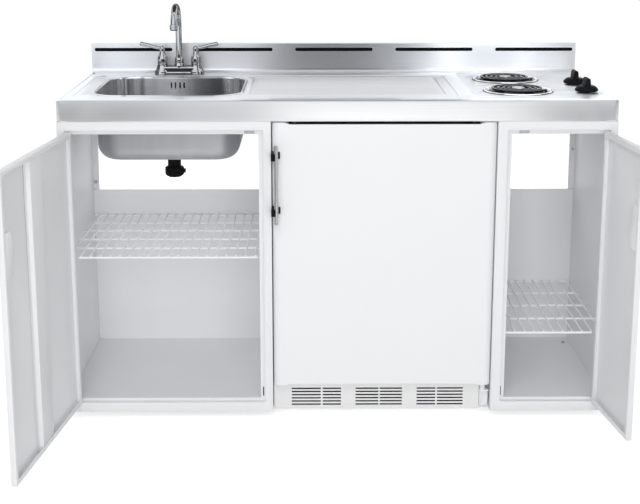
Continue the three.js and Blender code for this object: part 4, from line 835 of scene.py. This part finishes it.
pull_plastic = coated("white_moulded_plastic", (0.96, 0.96, 0.955), (0.94, 0.94, 0.94), 0.38,
                      1100.0, 0.00002)
for side in ("left", "right"):
    softened(f"{side}_door", 0.0012, white_enamel, body=f"{side}_door")
    softened(f"{side}_door_pull", 0.0012, pull_plastic, body=f"{side}_door")
    for level in ("lower", "upper"):
        softened(f"{side}_hinge_{level}_frame", 0.0, plated_steel)
        softened(f"{side}_hinge_{level}_door", 0.0, plated_steel,
                 body=f"{side}_door")
softened("left_door_stiffener", 0.0008, white_enamel, body="left_door")

# What shows of the fixings: bolt heads at the back corners, and a bumper strip in each ledge.
fixings = [capsule_plate(-752, 575, 5.5, 5.5, 529.5, 3), capsule_plate(752, 678, 4, 4, 529.5, 3),
           spun([(0, 0), (6, 0), (6, 3), (4.5, 4), (0, 4)], [737, 481, 54.2], 16)]
laid("cupboard_bolt_heads", stacked(fixings), plated_steel, "zinc_steel")
laid("cupboard_bumper_strips", stacked([capsule_plate(x, 74.5, 1.4, 13.5, 19.1, 0.8)
                                        for x in (-209.5, 466.5)]), black_plastic, "black_plastic")


# ---------- Refrigerator cabinet ----------
# An enamelled steel shell round insulating foam, with a formed plastic liner, a glass shelf, a
# freezer box under the ceiling, and a compressor in the recess at the lower rear.

fridge_enamel = coated("white_fridge_enamel", (0.875, 0.885, 0.90), (0.87, 0.88, 0.895), 0.38,
                       260.0, Specular_IOR_Level=0.5)
liner_plastic = coated("formed_liner_plastic", (0.87, 0.87, 0.865), (0.85, 0.85, 0.85), 0.35, 500.0,
                       0.00002)
frost_metal = brushed("freezer_box_aluminium", (0.78, 0.79, 0.80), (0.70, 0.71, 0.73), 0.4,
                      (60.0, 60.0, 60.0))
dress(fridge_enamel, "fridge_body")
dress(liner_plastic, "fridge_liner")
dress(frost_metal, "fridge_freezer_box")
softened("fridge_compressor", 0.0, black_plastic)

shelf_low, shelf_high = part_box("fridge_shelf")
shelf_glass = principled("clear_shelf_glass", Base_Color=(0.88, 0.95, 0.93, 1), Roughness=0.03,
                         Transmission_Weight=1.0, IOR=1.5)[0]


def slab(low, high, radius):
    """A flat slab between two corners, with its four upright edges rounded."""
    loop = rounded(low[0], high[0], low[1], high[1], radius, 4)
    return np.concatenate([raised(loop, z) for z in (low[2], high[2])]), capped(len(loop))


pane, trim = 0.004, 0.012
made("fridge_shelf_pane", slab([shelf_low.x, shelf_low.y + pane, shelf_low.z],
                               [shelf_high.x, shelf_high.y - pane, shelf_low.z + pane], 0.002),
     shelf_glass, "white_plastic", stands_for=["fridge_shelf"])
made("fridge_shelf_trim", stacked([
    carried(rounded(y, y + trim, shelf_low.z + 0.0041, shelf_high.z, 0.003, 5), shelf_low.x,
            shelf_high.x) for y in (shelf_low.y, shelf_high.y - trim)]),
     liner_plastic, "white_plastic")


# ---------- Refrigerator door ----------
# The same enamelled sheet wrapped round foam, with rounded upright edges and a small raised
# corner at each end of its top and bottom. Inside are a formed panel with two racks and a gasket.

door_low, door_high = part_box("fridge_door")


def door_skin(left, right, front, back, radius=0.020, proud=0.0045):
    """Levels of one plan outline: round front edges, square rear ones. Near the corners the top
    and bottom stand proud, which a smooth step along X gives."""
    turn = np.linspace(0, np.pi / 2, 12)
    flat = np.array([0.0, 0.012, 0.024, 0.032, 0.036, 0.040, 0.044, 0.050, 0.08])
    face = np.concatenate([flat, [(right - left) / 2 - radius],
                           (right - left - 2 * radius - flat)[::-1]])
    left_edge = np.stack([left + radius - radius * np.cos(turn),
                          front + radius - radius * np.sin(turn)], 1)
    right_edge = (left_edge * [-1, 1] + [left + right, 0])[::-1]
    front_run = np.stack([left + radius + face, 0 * face + front], 1)
    back_run = np.stack([right - np.linspace(0, right - left, len(face)), 0 * face + back], 1)
    loop = np.concatenate([left_edge, front_run[1:-1], right_edge, back_run])
    from_side = np.minimum(loop[:, 0] - left, right - loop[:, 0])
    step = np.clip((from_side - 0.034) / 0.012, 0, 1)
    low = door_low.z + proud * step * step * (3 - 2 * step)
    middle = np.array([(left + right) / 2, (front + back) / 2])
    rows = [np.column_stack([loop - np.sign(loop - middle) * shrink, low + lift])
            for lift, shrink in ((0, 0.0022), (0.0006, 0.0008), (0.0018, 0.0001), (0.0032, 0),
                                 (0.05, 0))]
    rows += [row * [1, 1, -1] + [0, 0, door_low.z + door_high.z] for row in rows[::-1]]
    bottom, lid = [np.column_stack([row[:, 0], 0 * low + middle[1], row[:, 2]])
                   for row in (rows[0], rows[-1])]
    return between([bottom, *rows, lid])


made("fridge_door_skin", door_skin(door_low.x, door_high.x, door_low.y, door_high.y),
     fridge_enamel, "fridge_white", body="fridge_door", stands_for=["fridge_door"], crease=50)
# Painted shadow: a black strip on the door's top darkens the gap under the worktop's apron.
made("fridge_door_top_painted_shadow", slab(
    [door_low.x + 0.046, door_low.y + 0.0015, door_high.z - 0.0045],
    [door_high.x - 0.046, door_high.y - 0.002, door_high.z - 0.0037], 0.002),
     black_plastic, "black_plastic", body="fridge_door")
dress(liner_plastic, "fridge_door_liner")
gasket_rubber = coated("pale_gasket_rubber", (0.70, 0.70, 0.69), (0.62, 0.62, 0.61), 0.65, 900.0)
dress(gasket_rubber, "fridge_gasket")

handle_steel = brushed("satin_handle_bar", (0.62, 0.62, 0.625), (0.5, 0.5, 0.51), 0.25,
                       (700.0, 700.0, 8.0))
bar_foot = [-167.7, -35.0, unit_box("fridge_handle")[0][2]]
bar_middle, post_offset = 687.0, 77.0
laid("fridge_handle_bar", spun([(0, 0), (4.6, 0), (5.3, 0.8), (5.3, 218.2), (4.6, 219), (0, 219)],
                               bar_foot, 28),
     handle_steel, "handle_steel", body="fridge_door", stands_for=["fridge_handle"])


def handle_post(z):
    """A black moulded foot: a ring round the bar that widens into a pad on the door's edge."""
    outline = np.array([[-181.6, -41], [-170.8, -41.2], [-168.4, -29], [-166, -20], [-157, 0.2],
                        [-170, 3], [-174, 9], [-178, 13.5], [-181.4, 13.5]])
    middle = outline.mean(axis=0)
    ends = ((0, -9.5), (0.9, -9.5), (1, -8.4), (1, 8.4), (0.9, 9.5), (0, 9.5))
    return between([raised(middle + (outline - middle) * share, z + lift) for share, lift in ends])


laid("fridge_handle_posts", stacked([handle_post(bar_middle - post_offset),
                                     handle_post(bar_middle + post_offset)]),
     black_plastic, "black_plastic", body="fridge_door")


# ---------- Refrigerator hinges and kick grille ----------
# The door turns on two steel brackets, the lower one enamelled. Beside it the plastic grille
# closes the foot of the cabinet and lets air in to the compressor.

softened("fridge_hinge_lower", 0.0006, white_enamel)
softened("fridge_hinge_upper", 0.0, plated_steel)
grille_plastic = coated("white_grille_plastic", (0.83, 0.83, 0.83), (0.81, 0.81, 0.815), 0.4, 800.0,
                        0.00002)
softened("fridge_kick_grille", 0.0, grille_plastic)
grille_low, grille_high = unit_box("fridge_kick_grille")
# Painted shade: a black strip behind the grille darkens its slots.
grille_shade_section = [[32, 22], [32.6, 22], [32.6, 90], [32, 90]]
laid("kick_grille_slot_shade", carried(grille_shade_section, grille_low[0] + 8, grille_high[0] - 8),
     black_for_shade, "black_plastic")


# ---------- Floor, light and camera ----------
# A white studio floor and sky. Boards that only reflections see give the metal its darker tones,
# as the flags beside a real set do.

def plain_material(name, colour):
    """A surface that shows one brightness whatever falls on it."""
    material = bpy.data.materials.new(name)
    material.use_nodes = True
    tree = material.node_tree
    tree.nodes.clear()
    end = tree.nodes.new("ShaderNodeOutputMaterial")
    tree.links.new(node(tree, "Emission", {"Color": (*colour, 1)}), end.inputs["Surface"])
    return material


def board(name, corners, material):
    """A flat four-cornered board."""
    mesh = bpy.data.meshes.new(name)
    mesh.from_pydata(corners, [], [[0, 1, 2, 3]])
    mesh.materials.append(material)
    panel = bpy.data.objects.new(name, mesh)
    bpy.context.collection.objects.link(panel)
    return panel


def backdrop_rays(tree):
    """One for a camera, glossy or transmission ray, nought for a diffuse one."""
    rays = tree.nodes.new("ShaderNodeLightPath").outputs
    either = node(tree, "Math", {0: rays["Is Camera Ray"], 1: rays["Is Glossy Ray"]},
                  operation="MAXIMUM")
    return node(tree, "Math", {0: either, 1: rays["Is Transmission Ray"]}, operation="MAXIMUM")


def floor_glow(tree, seen, mirrored):
    """Glow for a camera or transmission ray, another for a glossy ray, none for a diffuse one."""
    rays = tree.nodes.new("ShaderNodeLightPath").outputs
    straight = node(tree, "Math", {0: rays["Is Camera Ray"], 1: rays["Is Transmission Ray"]},
                    operation="MAXIMUM")
    shine = node(tree, "Math", {0: rays["Is Glossy Ray"], 1: mirrored}, operation="MULTIPLY")
    return node(tree, "Math", {0: straight, 1: seen, 2: shine}, operation="MULTIPLY_ADD")


def make_floor_material(seen, mirrored):
    """A matt white floor, lifted to full white where it is seen but not where it lights others."""
    material, paint = principled("studio_floor", Base_Color=(0.93, 0.93, 0.93, 1), Roughness=0.9,
                                 Specular_IOR_Level=0.0)
    tree = material.node_tree
    glow = node(tree, "Emission", {"Strength": floor_glow(tree, seen, mirrored)})
    both = node(tree, "AddShader", {0: paint.outputs[0], 1: glow})
    tree.links.new(both, tree.nodes["Material Output"].inputs["Surface"])
    return material


board("studio_floor", [(-30, -30, 0), (30, -30, 0), (30, 30, 0), (-30, 30, 0)],
      make_floor_material(0.6, 0.25))


def flag(name, first, last, shade):
    """An upright or level board between two corners, seen by reflections alone."""
    (x0, y0, z0), (x1, y1, z1) = first, last
    corners = [(x0, y0, z0), (x1, y1, z0), (x1, y1, z1), (x0, y0, z1)]
    if z0 == z1:
        corners = [(x0, y0, z0), (x1, y0, z0), (x1, y1, z0), (x0, y1, z0)]
    panel = board(name, corners, plain_material(name, (shade, shade * 1.04, shade * 1.1)))
    panel.visible_camera = panel.visible_diffuse = panel.visible_shadow = False
    panel.visible_transmission = panel.visible_volume_scatter = False


flag("flag_low_left", (-2.6, -1.6, 0.05), (-0.75, -1.6, 0.8), 0.2)
flag("flag_low_left_edge", (-0.75, -1.6, 0.05), (-0.25, -1.6, 0.8), 0.5)
flag("flag_low_right", (0.95, -1.6, 0.05), (2.6, -1.6, 0.8), 0.3)
flag("flag_over_drainer", (-0.17, 0.02, 0.93), (0.19, 0.02, 1.3), 0.1)
flag("flag_over_drainer_edge", (-0.25, 0.0, 0.93), (0.36, 0.0, 1.3), 0.4)
flag("flag_over_sink", (-1.2, 0.0, 0.93), (-0.27, 0.0, 2.2), 1.18)
flag("flag_over_hob", (0.38, 0.0, 0.93), (0.80, 0.0, 2.2), 1.85)
flag("flag_behind", (-2.8, 3.0, 1.0), (2.8, 3.0, 2.6), 1.15)
flag("flag_overhead", (-2.6, -3.4, 2.7), (2.6, 0.0, 2.7), 0.4)
flag("flag_tap_front", (-0.55, 0.4, 0.93), (-0.402, 0.4, 0.965), 0.05)
flag("flag_tap_above", (-0.62, 0.38, 1.3), (-0.33, 0.62, 1.3), 0.05)
flag("flag_side_left", (-2.8, -2.6, 0.9), (-2.8, 1.2, 2.6), 0.12)
flag("flag_side_right", (2.8, -2.6, 0.9), (2.8, 1.2, 2.6), 0.04)

world = bpy.data.worlds.new("studio")
bpy.context.scene.world = world
world.use_nodes = True
sky = world.node_tree
sky.nodes.clear()
seen = node(sky, "Background", {"Color": (1, 1, 1, 1), "Strength": 1.0})
lit = node(sky, "Background", {"Color": (1, 1, 1, 1), "Strength": 0.45})
backdrop = node(sky, "MixShader", {0: backdrop_rays(sky), 1: lit, 2: seen})
sky.links.new(backdrop, sky.nodes.new("ShaderNodeOutputWorld").inputs["Surface"])


def soft_light(name, place, aim, size, power):
    """A large soft lamp at `place`, turned to face `aim`, which no reflection shows."""
    lamp = bpy.data.lights.new(name, "AREA")
    lamp.shape, lamp.size, lamp.energy = "SQUARE", size, power
    holder = bpy.data.objects.new(name, lamp)
    bpy.context.collection.objects.link(holder)
    direction = Vector(aim) - Vector(place)
    holder.rotation_mode = "QUATERNION"
    holder.rotation_quaternion = direction.to_track_quat("-Z", "Y")
    holder.location = place
    holder.visible_glossy = False


soft_light("key_light", (-0.9, -3.1, 3.7), (0, 0, 0.4), 1.2, 36)
soft_light("front_light", (0.2, -4.6, 1.4), (0, 0, 0.6), 2.4, 74)
soft_light("back_light", (0, 3.0, 1.8), (0, 0.6, 0.7), 2.4, 40)

camera_data = bpy.data.cameras.new("camera")
camera_data.sensor_width, camera_data.lens, camera_data.shift_y = 36.0, 70.75, -0.10
camera = bpy.data.objects.new("camera", camera_data)
bpy.context.collection.objects.link(camera)
camera.location = (-0.0598, -3.4043, 1.4220)
camera.rotation_euler = (math.radians(90 - 12.58), 0, math.radians(-0.46))
bpy.context.scene.camera = camera
bpy.context.scene.view_settings.view_transform = "Standard"
bpy.context.scene.cycles.max_bounces = 16
bpy.context.scene.cycles.diffuse_bounces = 8
bpy.context.scene.cycles.glossy_bounces = 10
